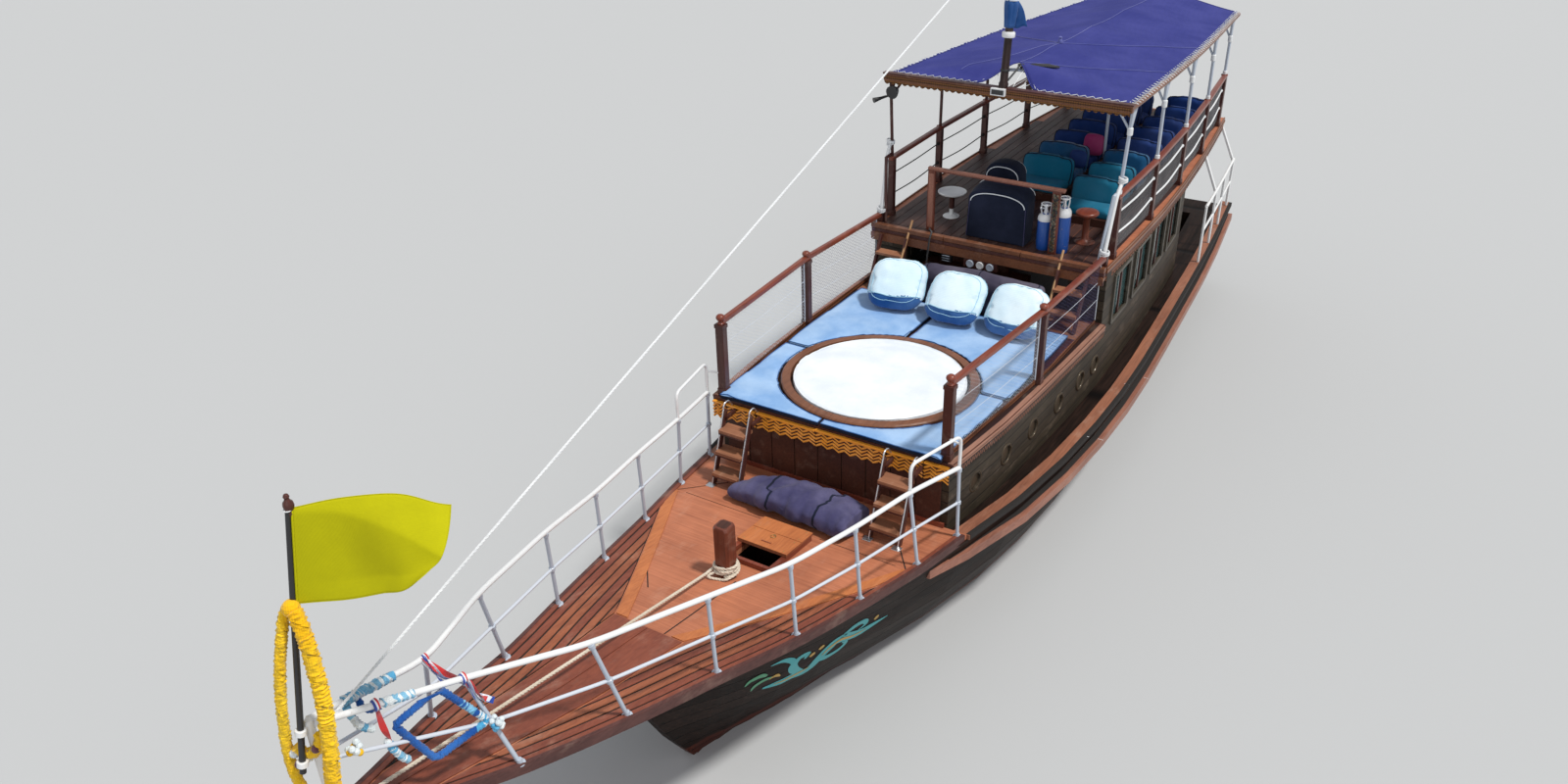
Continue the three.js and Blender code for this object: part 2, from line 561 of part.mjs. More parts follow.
// Upper deck: helm rail, covered console, cylinders, stool, side table, lounge cushions

const HELM_RAIL = { x: -1830, y0: -900, y1: 975, posts: [-850, 868], top: 3865 };
add('helm_rail', join(
  block(HELM_RAIL.x - 30, HELM_RAIL.x + 30, HELM_RAIL.y0, HELM_RAIL.y1, HELM_RAIL.top - 45, HELM_RAIL.top),
  ...HELM_RAIL.posts.map((y) => block(HELM_RAIL.x - 20, HELM_RAIL.x + 20, y - 52, y + 52,
    UPPER_DECK_TOP + GAP, HELM_RAIL.top - 20)),
), RAIL_WOOD);

// Console arch: half width, shoulder height, crown height
function arch(halfWidth, shoulder, crown) {
  const points = [[halfWidth, 0], [halfWidth, shoulder]];
  for (let i = 1; i < 8; i++) {
    const angle = i / 8 * Math.PI;
    points.push([halfWidth * Math.cos(angle), shoulder + (crown - shoulder) * Math.sin(angle)]);
  }
  points.push([-halfWidth, shoulder], [-halfWidth, 0]);
  return points;
}
const CONSOLE = { frontX: -1870, depth: 280, y: 70, halfWidth: 415, shoulder: 545, crown: 700 };
const SEAT_BACK = { frontX: -2620, depth: 240, y: -190, halfWidth: 335, shoulder: 570, crown: 800 };
const BENCH = { halfWidth: 300, y: -150, height: 380 };
const covered = (c) => crossProfile(arch(c.halfWidth, c.shoulder, c.crown), c.depth)
  .translate(c.frontX - c.depth, c.y, 0);
add('helm_console', join(
  covered(CONSOLE),
  covered(SEAT_BACK),
  block(SEAT_BACK.frontX - 100, CONSOLE.frontX - CONSOLE.depth + 50, BENCH.y - BENCH.halfWidth,
    BENCH.y + BENCH.halfWidth, 0, BENCH.height),
), NAVY_CLOTH, [0, 0, UPPER_DECK_TOP + GAP]);

const CYLINDER_ROWS = [[0, 0], [88, 0], [95, 25], [95, 500], [70, 565], [32, 590], [32, 640], [40, 650],
  [40, 690], [0, 690]];
const cylinderAt = (y, stretch) => turned(CYLINDER_ROWS, 10).scale(1, 1, stretch).translate(0, y, 0);
add('gas_cylinders', join(cylinderAt(-118, 0.9), cylinderAt(118, 1.13), block(-25, 25, -60, 60, 250, 290)),
  CYLINDER_BLUE, [-1955, 820, UPPER_DECK_TOP + GAP]);
add('stool', turned([[0, 0], [130, 0], [130, 25], [50, 45], [50, 365], [130, 385], [145, 400], [145, 435],
  [0, 440]], 16), RAIL_WOOD, [-2400, 1100, UPPER_DECK_TOP + GAP]);
add('side_table', turned([[0, 0], [115, 0], [115, 22], [32, 40], [32, 325], [185, 335], [195, 350],
  [195, 365], [0, 365]], 16), WHITE_CLOTH, [-2410, -810, UPPER_DECK_TOP + GAP]);

// Lounge cushions: a long base with reclined backs in rows
const LOUNGE = { pitch: 620, backDepth: 150, backHeight: 430, lean: 0.22, seatDepth: 510, base: 180 };
const LOUNGES = [
  { side: 'port', y: 850, halfWidth: 365, backX: -3490, rows: 8 },
  { side: 'starboard', y: -75, halfWidth: 410, backX: -4080, rows: 7 },
];
for (const { side, y, halfWidth, backX, rows } of LOUNGES) {
  const lastX = backX - (rows - 1) * LOUNGE.pitch;
  const parts = [block(lastX - 160, backX + LOUNGE.seatDepth, y - halfWidth + 10, y + halfWidth - 10, 0,
    LOUNGE.base)];
  for (let i = 0; i < rows; i++) {
    parts.push(new THREE.BoxGeometry(LOUNGE.backDepth, 2 * halfWidth, LOUNGE.backHeight)
      .rotateY(-LOUNGE.lean)
      .translate(backX - i * LOUNGE.pitch, y, LOUNGE.base + LOUNGE.backHeight / 2 - 60));
  }
  add(`lounge_${side}`, join(...parts), TEAL_CLOTH, [0, 0, UPPER_DECK_TOP + GAP]);
}

// Rails of the upper deck: square posts and a level top rail
function upperRail() {
  const posts = UPPER_POSTS.map(([x, y]) => block(x - 42, x + 42, y - 42, y + 42, UPPER_DECK_TOP + GAP,
    UPPER_RAIL_Z - 20));
  const line = UPPER_POSTS.map(([x, y]) => [x, y, UPPER_RAIL_Z - 25]);
  line[0][0] += 60;
  line[line.length - 1][0] -= 60;
  const rails = line.slice(1).map((p, i) => bar(line[i], p, 75, 50));
  return join(...posts, ...rails);
}
addPair('upper_rail', upperRail(), RAIL_WOOD);

const FRONT_BEAM = { x0: AWNING_FRONT_X + GAP + 27, depth: 80, height: 110, y: 1650 };
add('awning_front_beam', block(FRONT_BEAM.x0, FRONT_BEAM.x0 + FRONT_BEAM.depth, -FRONT_BEAM.y,
  FRONT_BEAM.y, EAVE_FRONT_Z - 80, EAVE_FRONT_Z - 80 + FRONT_BEAM.height), DARK_WOOD);

// Ridge bar and cross bows between the side beams
const BOWS = [-3600, -5130, -6660, AWNING_REAR_X + 40];
function awningBows(extra = 0) {
  const ridgeZ = (x) => eaveZ(x) + AWNING_CROWN - 50;
  const ridge = tube([[AWNING_FRONT_X - 430, 0, ridgeZ(AWNING_FRONT_X - 430)],
    [AWNING_REAR_X + 40, 0, ridgeZ(AWNING_REAR_X + 40)]], 22 + extra);
  const bows = [AWNING_FRONT_X - 430, ...BOWS].map((x) => {
    const reach = eaveY(x) - 27 - GAP - 22;
    return tube([[x, -reach, eaveZ(x) - 22], [x, -reach * 0.5, eaveZ(x) + 80], [x, 0, ridgeZ(x)],
      [x, reach * 0.5, eaveZ(x) + 80], [x, reach, eaveZ(x) - 22]], 20 + extra);
  });
  return join(ridge, ...bows);
}
const eaveTools = [1, -1].map((s) => {
  const line = [-1950, -3600, -5130, -6660, -8190, AWNING_REAR_X]
    .map((x) => [x, s * eaveY(x), eaveZ(x) - 25]);
  return tube(line, 27 + GAP);
});
add('awning_bows', cut(awningBows(), ...eaveTools), WHITE_PIPE);

// Awning posts on the rail, side beams, and a front brace down to the deck
const POST_RADIUS = 24;
function awningPosts() {
  const parts = [];
  UPPER_POSTS.forEach(([x, y]) => {
    const top = eaveZ(x) - 60;
    const outward = eaveY(x) - y;
    parts.push(rod([x, y, UPPER_RAIL_Z - 20], [x, y + outward, top + 40], POST_RADIUS));
    parts.push(rod([x, y + outward * 0.8, top - 260],
      [x - 150, eaveY(x - 150), eaveZ(x - 150) - 40], 16, 6));
    parts.push(rod([x, y + outward * 0.8, top - 260], [x, y - 170, eaveZ(x) - 26], 16, 6));
  });
  const eave = [-1950, -3600, -5130, -6660, -8190, AWNING_REAR_X].map((x) => [x, eaveY(x), eaveZ(x) - 25]);
  parts.push(tube(eave, 27));
  const [x, y] = UPPER_POSTS[0];
  parts.push(tube([[x, y, UPPER_RAIL_Z + 40], [x + 190, y - 5, UPPER_RAIL_Z + 30],
    [-1770, 1490, UPPER_DECK_TOP - 60]], 22));
  return cut(join(...parts), awningBows(GAP), block(-9000, 0, 0, 2000, 2000, UPPER_DECK_TOP + GAP),
    block(-9000, -1990, 0, 2000, 2000, UPPER_RAIL_Z + GAP),
    block(FRONT_BEAM.x0 - GAP, 0, 0, 2000, 4500, 5500));
}
addPair('awning_posts', awningPosts(), WHITE_PIPE);

// Awning cloth: a low crown over the bows, notched in front round the mast
const CLOTH_THICK = 8;
function awning() {
  const steps = [-1, -0.75, -0.5, -0.25, 0, 0.25, 0.5, 0.75, 1];
  const crown = (s, x) => eaveZ(x) + 0.7 + AWNING_CROWN * (1 - Math.abs(s) ** 1.5) * 0.9;
  const xs = [AWNING_REAR_X - 20, -7500, -6300, -5000, -3800, -2800, AWNING_FRONT_X - 5];
  const loops = xs.map((x) => {
    const point = (s, up) => [x, s * (eaveY(x) + 12), crown(s, x) + up];
    return [...steps.map((s) => point(s, 0)), ...steps.slice().reverse().map((s) => point(s, CLOTH_THICK))];
  });
  const notch = new THREE.ExtrudeGeometry(new THREE.Shape([
    new THREE.Vector2(AWNING_FRONT_X + 10, -390), new THREE.Vector2(AWNING_FRONT_X + 10, 390),
    new THREE.Vector2(AWNING_FRONT_X - 400, 0),
  ]), { depth: 800, bevelEnabled: false }).translate(0, 0, 4800);
  return cut(loft(loops), notch);
}
add('awning', awning(), AWNING_CLOTH);

// Mast with its light, the furled blue cloth and the forestay

const MAST = { x: FRONT_BEAM.x0 + FRONT_BEAM.depth / 2, radius: 48, length: 2350, rake: 0.1, lightAt: 640,
  clothFrom: 720, clothTo: 1750, stayAt: 1960 };
const MAST_FOOT_Z = EAVE_FRONT_Z - 80 + FRONT_BEAM.height + GAP;
const mastGroup = new THREE.Group();
mastGroup.position.set(MAST.x, 0, MAST_FOOT_Z);
mastGroup.rotation.y = -MAST.rake;
boat.add(mastGroup);
const mastBody = join(
  rod([0, 0, -20], [0, 0, 1800], MAST.radius, 12),
  rod([0, 0, 1800], [0, 0, MAST.length], MAST.radius, 12, 30),
  turned([[0, MAST.lightAt - 35], [80, MAST.lightAt - 35], [80, MAST.lightAt + 25], [0, MAST.lightAt + 25]],
    16),
  rod([0, 0, MAST.length - 20], [0, 0, MAST.length + 90], 26, 8),
);
const beamTop = block(-200, 200, -200, 200, -200, 0).rotateY(MAST.rake);
add('mast', cut(mastBody, beamTop), DARK_WOOD, [0, 0, 0], mastGroup);
const inner = MAST.radius + GAP;
add('furled_cloth', turned([
  [inner, MAST.clothFrom], [72, MAST.clothFrom], [88, 900], [84, 1300], [68, MAST.clothTo],
  [inner, MAST.clothTo], [inner, MAST.clothFrom],
], 12), TEAL_CLOTH, [0, 0, 0], mastGroup);

// Bow post at the tip of the pulpit with the flagstaff, and the stay from the mast to it
const BOW_POST = { x: 8900, top: 3650 };
const stayTop = [MAST.x - Math.sin(MAST.rake) * MAST.stayAt + 47.7, 0,
  MAST_FOOT_Z + Math.cos(MAST.rake) * MAST.stayAt];
const stayFoot = [BOW_POST.x - 36, 0, 3500];
const STAFF = { foot: [9031, 0, 3300], top: [8630, 0, 5190] };
const staffRake = (STAFF.foot[0] - STAFF.top[0]) / (STAFF.top[2] - STAFF.foot[2]);
const staffX = (z) => STAFF.top[0] + (STAFF.top[2] - z) * staffRake;
const bowPost = join(
  rod([BOW_POST.x, 0, deckAt(BOW_POST.x) - 40], [BOW_POST.x, 0, BOW_POST.top], 32),
  rod(STAFF.foot, STAFF.top, 22),
  new THREE.SphereGeometry(38, 8, 6).translate(...STAFF.top),
  ...[3370, 3600].map((z) => rod([BOW_POST.x, 0, z], [staffX(z), 0, z], 20, 6)),
);
add('flagstaff', cut(bowPost, plate(foredeckXs.slice(-4), () => 400, () => 2000,
  (x) => foredeckHigh(x) + GAP)), RAIL_WOOD);
const staffTool = solid(rod([staffX(4000), 0, 4000], [staffX(5150), 0, 5150], 22 + GAP));
add('forestay', rod(stayTop, stayFoot, 11), ROPE);

// Yellow flag flying aft and to port, its hoist along the raked staff
const FLAG = { thick: 6, top: 5125, heading: 2.12 };
const FLAG_OUTLINE = [[10, 0], [970, 40], [890, -330], [800, -420], [400, -520], [10, -620]];
const alongStaff = new THREE.Matrix4().set(1, 0, -staffRake, 0, 0, 1, 0, 0, 0, 0, 1, 0, 0, 0, 0, 1);
const flagShape = new THREE.Shape(FLAG_OUTLINE.map((p) => new THREE.Vector2(...p)));
const flag = new THREE.ExtrudeGeometry(flagShape, { depth: FLAG.thick, bevelEnabled: false })
  .rotateX(Math.PI / 2).rotateZ(FLAG.heading).applyMatrix4(alongStaff);
add('yellow_flag', cut(solid(flag).translate(staffX(FLAG.top), 0, FLAG.top), staffTool), YELLOW_CLOTH);

// Bow pulpit: top rail, mid rail, stanchions and a gate loop on each side

function pulpit() {
  const feet = PULPIT_ROWS.map(([x, y]) => [x, y, deckAt(x) + GAP]);
  const tops = PULPIT_ROWS.map(([, , x, y, z]) => [x, y, z]);
  const mids = PULPIT_ROWS.map((_, i) => feet[i].map((v, k) => v * 0.5 + tops[i][k] * 0.5));
  const tip = [BOW_POST.x - 20, 34, 3620];
  const midTip = [BOW_POST.x - 20, 34, 3300];
  const stanchions = feet.map((foot, i) => rod([...foot.slice(0, 2), foot[2] - 40], tops[i], 19));
  const loopTop = 380;
  const gate = tube([tops[0], [tops[0][0] - 5, tops[0][1], tops[0][2] + loopTop],
    [tops[1][0] + 5, tops[1][1], tops[1][2] + loopTop - 60], tops[1]], 18);
  const parts = [tube([...tops, tip], 24), tube([...mids, midTip], 15, 5), ...stanchions, gate];
  const deckCut = plate(foredeckXs, () => 2000, () => 1000, (x) => foredeckHigh(x) + GAP);
  const postCut = rod([BOW_POST.x, 0, 2500], [BOW_POST.x, 0, 3900], 32 + GAP);
  return cut(join(...parts), deckCut, postCut, block(2000, 9500, -500, 0.5, 2000, 4000));
}
addPair('pulpit', pulpit(), WHITE_PIPE);

// Samson post, anchor warp and hatch

const SAMSON = { x: 4380, radius: 88, height: 600 };
const samsonFoot = deckAt(SAMSON.x - 85) - 30;
const deckTool = plate(foredeckXs, () => 1700, () => 1000, (x) => foredeckHigh(x) + GAP);
const samson = join(
  rod([SAMSON.x, 0, samsonFoot], [SAMSON.x, 0, samsonFoot + SAMSON.height], SAMSON.radius, 8, 76),
  rod([SAMSON.x, 0, samsonFoot + SAMSON.height - 5], [SAMSON.x, 0, samsonFoot + SAMSON.height + 40], 90, 8),
);
add('samson_post', cut(samson, deckTool), RAIL_WOOD);
const turnsZ = deckAt(SAMSON.x + 90) + 25;
const samsonTool = rod([SAMSON.x, 0, 1500], [SAMSON.x, 0, 2500], SAMSON.radius + GAP, 8);
const warp = join(
  turned([[60, 0], [118, 0], [122, 30], [118, 90], [60, 90]].concat([[60, 0]]), 16)
    .translate(SAMSON.x, 0, turnsZ),
  rod([SAMSON.x + 30, -105, turnsZ + 50], [BOW_POST.x - 30, -16, deckAt(BOW_POST.x - 40) + 60], 15),
);
const bowPostTool = rod([BOW_POST.x, 0, 2500], [BOW_POST.x, 0, 3300], 32 + GAP);
add('anchor_warp', cut(warp, samsonTool, bowPostTool, deckTool), ROPE);

// Frame round the hatch; its sides run on aft as the runners on which the lid slides
const COAMING = { wall: 45, height: 60, aftX: 3355 };
const hatchSlope = (deckAt(4010) - deckAt(3140)) / (4010 - 3140);
const runnerTop = (x) => deckAt(COAMING.aftX) + COAMING.height + hatchSlope * (x - COAMING.aftX);
const coamingOuter = plate([COAMING.aftX, 4010, HATCH.x1 + COAMING.wall],
  () => HATCH.y1 + COAMING.wall, (x) => deckAt(x) + GAP, runnerTop, () => HATCH.y0 - COAMING.wall);
const betweenRunners = block(COAMING.aftX - 10, HATCH.x0 - COAMING.wall, HATCH.y0, HATCH.y1, 1000, 2400);
add('hatch_coaming', cut(coamingOuter, hatchHole, betweenRunners), RAIL_WOOD);
const LID = { length: 520, thick: 28, overhang: 12, clear: 6 };
const lidGroup = new THREE.Group();
lidGroup.position.set(COAMING.aftX, (HATCH.y0 + HATCH.y1) / 2, runnerTop(COAMING.aftX));
lidGroup.rotation.y = -Math.atan(hatchSlope);
boat.add(lidGroup);
const lidHalf = (HATCH.y1 - HATCH.y0) / 2 + COAMING.wall + LID.overhang;
add('hatch_lid', join(
  block(0, LID.length, -lidHalf, lidHalf, LID.clear, LID.clear + LID.thick),
  ...[-1, 1].map((s) => block(0, LID.length, s * (lidHalf - 38) - 10, s * (lidHalf - 38) + 10, GAP,
    LID.clear + 5)),
  rod([LID.length - 90, -55, LID.clear + LID.thick + 12], [LID.length - 90, 55, LID.clear + LID.thick + 12],
    8, 6),
  ...[-1, 1].map((s) => block(LID.length - 98, LID.length - 82, s * 50 - 8, s * 50 + 8,
    LID.clear + 10, LID.clear + LID.thick + 16)),
), DECK_WOOD, [0, 0, 0], lidGroup);

const BUNDLE_XS = [2620, 2780, 2960, 3080, 3180, 3260];
const bundlePort = smooth([[2620, 560], [2780, 710], [3180, 740], [3260, 600]]);
const bundleStarboard = smooth([[2620, -260], [2780, -600], [2960, -740], [3080, -860], [3180, -680],
  [3260, -60]]);
const bundleTop = smooth([[2620, 1800], [2780, 1910], [3080, 1920], [3260, 1760]]);
add('canvas_bundle', cut(plate(BUNDLE_XS, bundlePort, () => 1450, bundleTop, bundleStarboard), deckTool),
  NAVY_CLOTH);

// Rails and posts round the aft deck
const AFT = { xs: [-6250, -7050, -7850, -8700], top: 2300, mid: 1900 };
function aftRail() {
  const yAt = (x) => hullBreadths[0](x) - 60;
  const line = (z) => AFT.xs.map((x) => [x, yAt(x), z]);
  const capTop = plate(stationsBetween(-8850, -5000), () => 2100, () => 1000,
    (x) => hullSheer(x) + DECK_THICK + GAP);
  const stanchions = AFT.xs.map((x) => rod([x, yAt(x), 1300], [x, yAt(x), AFT.top], 22));
  const posts = [AFT.xs[1], AFT.xs[3]].map((x) => rod([x, yAt(x), 2250],
    [x, upperDeckY(x) - 60, UPPER_DECK_TOP - UPPER_DECK_THICK + 40], 26));
  const top = block(-9000, -5000, 0, 2100, UPPER_DECK_TOP - UPPER_DECK_THICK - GAP, 3300);
  return cut(join(tube(line(AFT.top), 24), tube(line(AFT.mid), 18), ...stanchions, ...posts), capTop, top);
}
addPair('aft_rail', aftRail(), WHITE_PIPE);

// Rudder and propeller

const RUDDER_PROFILE = [[-8270, -1190], [-8270, -330], [-8420, -250], [-8800, -230], [-8980, -420],
  [-9000, -1150]];
add('rudder', join(
  profile(RUDDER_PROFILE.map(([x, z]) => [x - RUDDER_X, z]), 90),
  rod([0, 0, -1150], [0, 0, STOCK_TOP_Z], STOCK_RADIUS, BEARING_SIDES),
  rod([0, 0, -1265], [0, 0, -1150], HEEL_PIN_RADIUS, BEARING_SIDES),
), HULL_PAINT, [RUDDER_X, 0, 0]);

const BLADES = 3;
const bladeShape = new THREE.Shape();
bladeShape.moveTo(-45, 30);
bladeShape.bezierCurveTo(-150, 120, -130, 260, 0, 290);
bladeShape.bezierCurveTo(110, 270, 110, 130, 45, 30);
const blade = () => new THREE.ExtrudeGeometry(bladeShape, { depth: 16, bevelEnabled: false,
  curveSegments: 6 }).translate(0, 0, -8).rotateY(0.95).rotateX(0);
const propellerParts = [
  rod([-110, 0, 0], [90, 0, 0], 58, 16),
  rod([80, 0, 0], [560, 0, 0], SHAFT_RADIUS, BEARING_SIDES),
  rod([-165, 0, 0], [-105, 0, 0], 20, 12, 56),
];
for (let i = 0; i < BLADES; i++) {
  propellerParts.push(blade().rotateX(i * 2 * Math.PI / BLADES));
}
add('propeller', join(...propellerParts), BRONZE, [PROPELLER_X, 0, SHAFT_Z]);

export default boat;
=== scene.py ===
import json
import random
from math import atan, ceil, copysign, cos, exp, pi, radians, sin, sqrt

import bmesh
import bpy
from mathutils import Matrix, Vector, noise
from mathutils.bvhtree import BVHTree


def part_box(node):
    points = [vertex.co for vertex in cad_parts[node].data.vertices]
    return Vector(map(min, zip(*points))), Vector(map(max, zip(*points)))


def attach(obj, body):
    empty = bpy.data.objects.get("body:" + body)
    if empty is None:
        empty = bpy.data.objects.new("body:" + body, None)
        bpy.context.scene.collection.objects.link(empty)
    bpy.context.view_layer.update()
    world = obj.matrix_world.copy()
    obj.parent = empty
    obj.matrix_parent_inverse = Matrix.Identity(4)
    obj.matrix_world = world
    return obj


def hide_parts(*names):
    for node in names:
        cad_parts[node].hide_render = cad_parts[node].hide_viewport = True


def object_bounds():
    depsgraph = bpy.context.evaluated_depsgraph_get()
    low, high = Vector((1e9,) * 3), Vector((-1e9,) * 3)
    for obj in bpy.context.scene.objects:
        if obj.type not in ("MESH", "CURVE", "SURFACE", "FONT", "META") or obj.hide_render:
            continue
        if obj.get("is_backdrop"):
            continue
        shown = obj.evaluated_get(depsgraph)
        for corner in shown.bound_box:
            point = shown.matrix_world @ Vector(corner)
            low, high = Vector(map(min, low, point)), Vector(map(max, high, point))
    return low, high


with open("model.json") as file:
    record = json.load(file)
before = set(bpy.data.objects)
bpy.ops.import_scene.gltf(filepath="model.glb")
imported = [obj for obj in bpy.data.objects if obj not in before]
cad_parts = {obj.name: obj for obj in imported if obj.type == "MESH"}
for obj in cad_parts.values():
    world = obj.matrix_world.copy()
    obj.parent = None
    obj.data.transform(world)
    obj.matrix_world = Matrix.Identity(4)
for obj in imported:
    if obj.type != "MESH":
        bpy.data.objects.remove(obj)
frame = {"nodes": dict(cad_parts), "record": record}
cad_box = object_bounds()
nodes = frame["nodes"]
scene = bpy.context.scene
SIDES = ((1, "port"), (-1, "starboard"))


def link(name, data):
    """A new object in the scene."""
    piece = bpy.data.objects.new(name, data)
    scene.collection.objects.link(piece)
    return piece


# Camera, at the photograph's viewing angle

CAMERA_AT = Vector((11.904, 5.571, 9.093))
CAMERA_RIGHT = Vector((-0.5293, 0.8481, -0.0238))
CAMERA_UP = Vector((-0.4341, -0.2467, 0.8664))
camera_data = bpy.data.cameras.new("camera")
camera_data.sensor_width = 36.0
camera_data.lens = 27.35
camera_data.shift_y = 0.0031
camera_data.clip_end = 400.0
camera = link("camera", camera_data)
turn = Matrix((CAMERA_RIGHT, CAMERA_UP, CAMERA_RIGHT.cross(CAMERA_UP).normalized())).transposed()
camera.matrix_world = Matrix.Translation(CAMERA_AT) @ turn.to_4x4()
scene.camera = camera

# The one free cord: a limp black rope from the helm rail's post, over the deck's edge and down

ROPE_ROUTE = [(-1.79, -0.84, 3.02), (-1.74, -0.8, 3.016), (-1.69, -0.76, 3.026), (-1.64, -0.735, 3.034),
              (-1.6, -0.73, 3.016), (-1.582, -0.735, 2.97), (-1.578, -0.742, 2.9), (-1.58, -0.752, 2.8),
              (-1.582, -0.762, 2.7), (-1.584, -0.768, 2.6), (-1.586, -0.77, 2.52)]
ROPE_THICK = 0.022
rope_curve = bpy.data.curves.new("hanging_rope", "CURVE")
rope_curve.dimensions = "3D"
rope_curve.bevel_depth = ROPE_THICK / 2
rope_curve.bevel_resolution = 3
rope_curve.use_fill_caps = True
rope_line = rope_curve.splines.new("POLY")
rope_line.points.add(len(ROPE_ROUTE) - 1)
for spot, place in zip(rope_line.points, ROPE_ROUTE):
    spot.co = (*place, 1.0)
hanging_rope = link("hanging_rope", rope_curve)
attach(hanging_rope, "boat")
ROPE_LENGTH = sum((Vector(b) - Vector(a)).length for a, b in zip(ROPE_ROUTE, ROPE_ROUTE[1:]))
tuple(ROPE_ROUTE[0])

# Materials


class Look:
    """A material of nodes in the boat's own coordinates, in metres."""

    def __init__(self, name, rough=0.5, metal=0.0, sheen=0.0, coat=0.0, shine=0.5, **inputs):
        self.material = bpy.data.materials.new(name)
        self.material.use_nodes = True
        self.tree = self.material.node_tree
        self.shader = self.tree.nodes["Principled BSDF"]
        self.place = self.new("TexCoord").outputs["Object"]
        self.fill(self.shader, {"Roughness": rough, "Metallic": metal, "Sheen Weight": sheen,
                                "Coat Weight": coat, "Specular IOR Level": shine, **inputs})

    def new(self, kind, inputs=(), **settings):
        node = self.tree.nodes.new("ShaderNode" + kind)
        for key, value in settings.items():
            setattr(node, key, value)
        return self.fill(node, inputs)

    def fill(self, node, inputs):
        """Sets sockets of a node to constant values, or links them to other nodes' sockets."""
        for key, value in dict(inputs).items():
            socket = node.inputs[key]
            if isinstance(value, bpy.types.NodeSocket):
                self.tree.links.new(value, socket)
            else:
                opaque = isinstance(value, tuple) and len(socket.default_value) == 4
                socket.default_value = (*value, 1.0) if opaque else value
        return node

    def math(self, operation, *values):
        return self.new("Math", enumerate(values), operation=operation).outputs[0]

    def add(self, first, second):
        return self.math("ADD", first, second)

    def times(self, first, second):
        return self.math("MULTIPLY", first, second)

    def blend(self, value, scale, base):
        return self.math("MULTIPLY_ADD", value, scale, base)

    def mix(self, share, first, second, blend="MIX"):
        return self.new("Mix", {0: share, 6: first, 7: second}, data_type="RGBA",
                        blend_type=blend).outputs[2]

    def tinted(self, colour, value, scale, base):
        """The colour times a grey value."""
        tint = self.blend(value, scale, base)
        grey = self.new("CombineColor", {0: tint, 1: tint, 2: tint}).outputs[0]
        return self.mix(1.0, colour, grey, blend="MULTIPLY")

    def noise(self, scale, detail=3.0, rough=0.55, size=1.0, distortion=0.0):
        scale = scale if isinstance(scale, tuple) else (scale,) * 3
        place = self.new("Mapping", {"Vector": self.place, "Scale": scale}).outputs[0]
        return self.new("TexNoise", {"Vector": place, "Scale": size, "Detail": detail, "Roughness": rough,
                                     "Distortion": distortion}).outputs[0]

    def ramp(self, value, *stops):
        node = self.new("ValToRGB", {0: value})
        for element, (position, colour) in zip(node.color_ramp.elements, stops):
            element.position = position
            element.color = (*colour, 1.0)
        return node.outputs[0]

    def axis(self, letter):
        return self.new("SeparateXYZ", {0: self.place}).outputs["XYZ".index(letter)]

    def step(self, value, low, high):
        """0 below low, 1 above high."""
        return self.new("MapRange", {0: value, 1: low, 2: high}, interpolation_type="SMOOTHSTEP").outputs[0]

    def boards(self, along, width, gap):
        """A random value for each board across a side, and 0 in the joints between them."""
        across = self.math("DIVIDE", along, width)
        board = self.math("FLOOR", across)
        inside = self.math("SUBTRACT", across, board)
        edge = self.math("MINIMUM", inside, self.math("SUBTRACT", 1.0, inside))
        pick = self.new("TexWhiteNoise", {"W": board}, noise_dimensions="1D").outputs[0]
        return pick, self.step(edge, 0.0, gap)

    def finish(self, colour, height, depth, strength, rough=None):
        """Feeds the shader; rough = (value, roughness at 0, roughness at 1)."""
        if rough:
            value, low, high = rough
            spread = self.new("MapRange", {0: value, 3: low, 4: high}).outputs[0]
            self.fill(self.shader, {"Roughness": spread})
        relief = self.new("Bump", {"Strength": strength, "Distance": depth, "Height": height}).outputs[0]
        self.fill(self.shader, {"Base Color": colour, "Normal": relief})
        return self.material


GRAIN = {"X": (1.6, 42.0, 42.0), "Y": (42.0, 1.6, 42.0), "Z": (42.0, 42.0, 1.6)}
WORN_TONE = (0.55, 0.42, 0.33)
JOINT = 0.006


def halfway(colour, other):
    return tuple(0.5 * a + 0.5 * b for a, b in zip(colour, other))


def wood(name, light, dark, along="X", rough=0.5, coat=0.05, worn=0.5, plank=None):
    """Timber with its grain along one axis; plank = (axis, width) draws the boards of a wall or side."""
    look = Look(name, rough=rough, coat=coat, shine=0.3, **{"Coat Roughness": 0.3})
    grain = look.noise(GRAIN[along], detail=5.0, rough=0.6, distortion=0.6)
    patches = look.noise((0.9, 1.3, 1.3), detail=4.0, size=1.6)
    tone = look.add(look.times(grain, 0.65), look.times(patches, 0.55))
    colour = look.ramp(tone, (0.34, dark), (0.78, light))
    wear = look.step(look.noise((2.2, 5.0, 5.0), detail=6.0, rough=0.7), 0.52, 0.72)
    colour = look.mix(look.times(wear, worn * 0.5), colour, halfway(light, WORN_TONE))
    height = look.times(grain, 0.35)
    if plank:
        letter, width = plank
        pick, seam = look.boards(look.axis(letter), width, JOINT / width * 2)
        colour = look.tinted(colour, pick, 0.5, 0.72)
        colour = look.mix(seam, tuple(c * 0.12 for c in dark), colour)
        height = look.add(height, look.times(seam, 1.2))
    return look.finish(colour, height, 0.004, 0.7, rough=(tone, rough + 0.15, rough - 0.1))


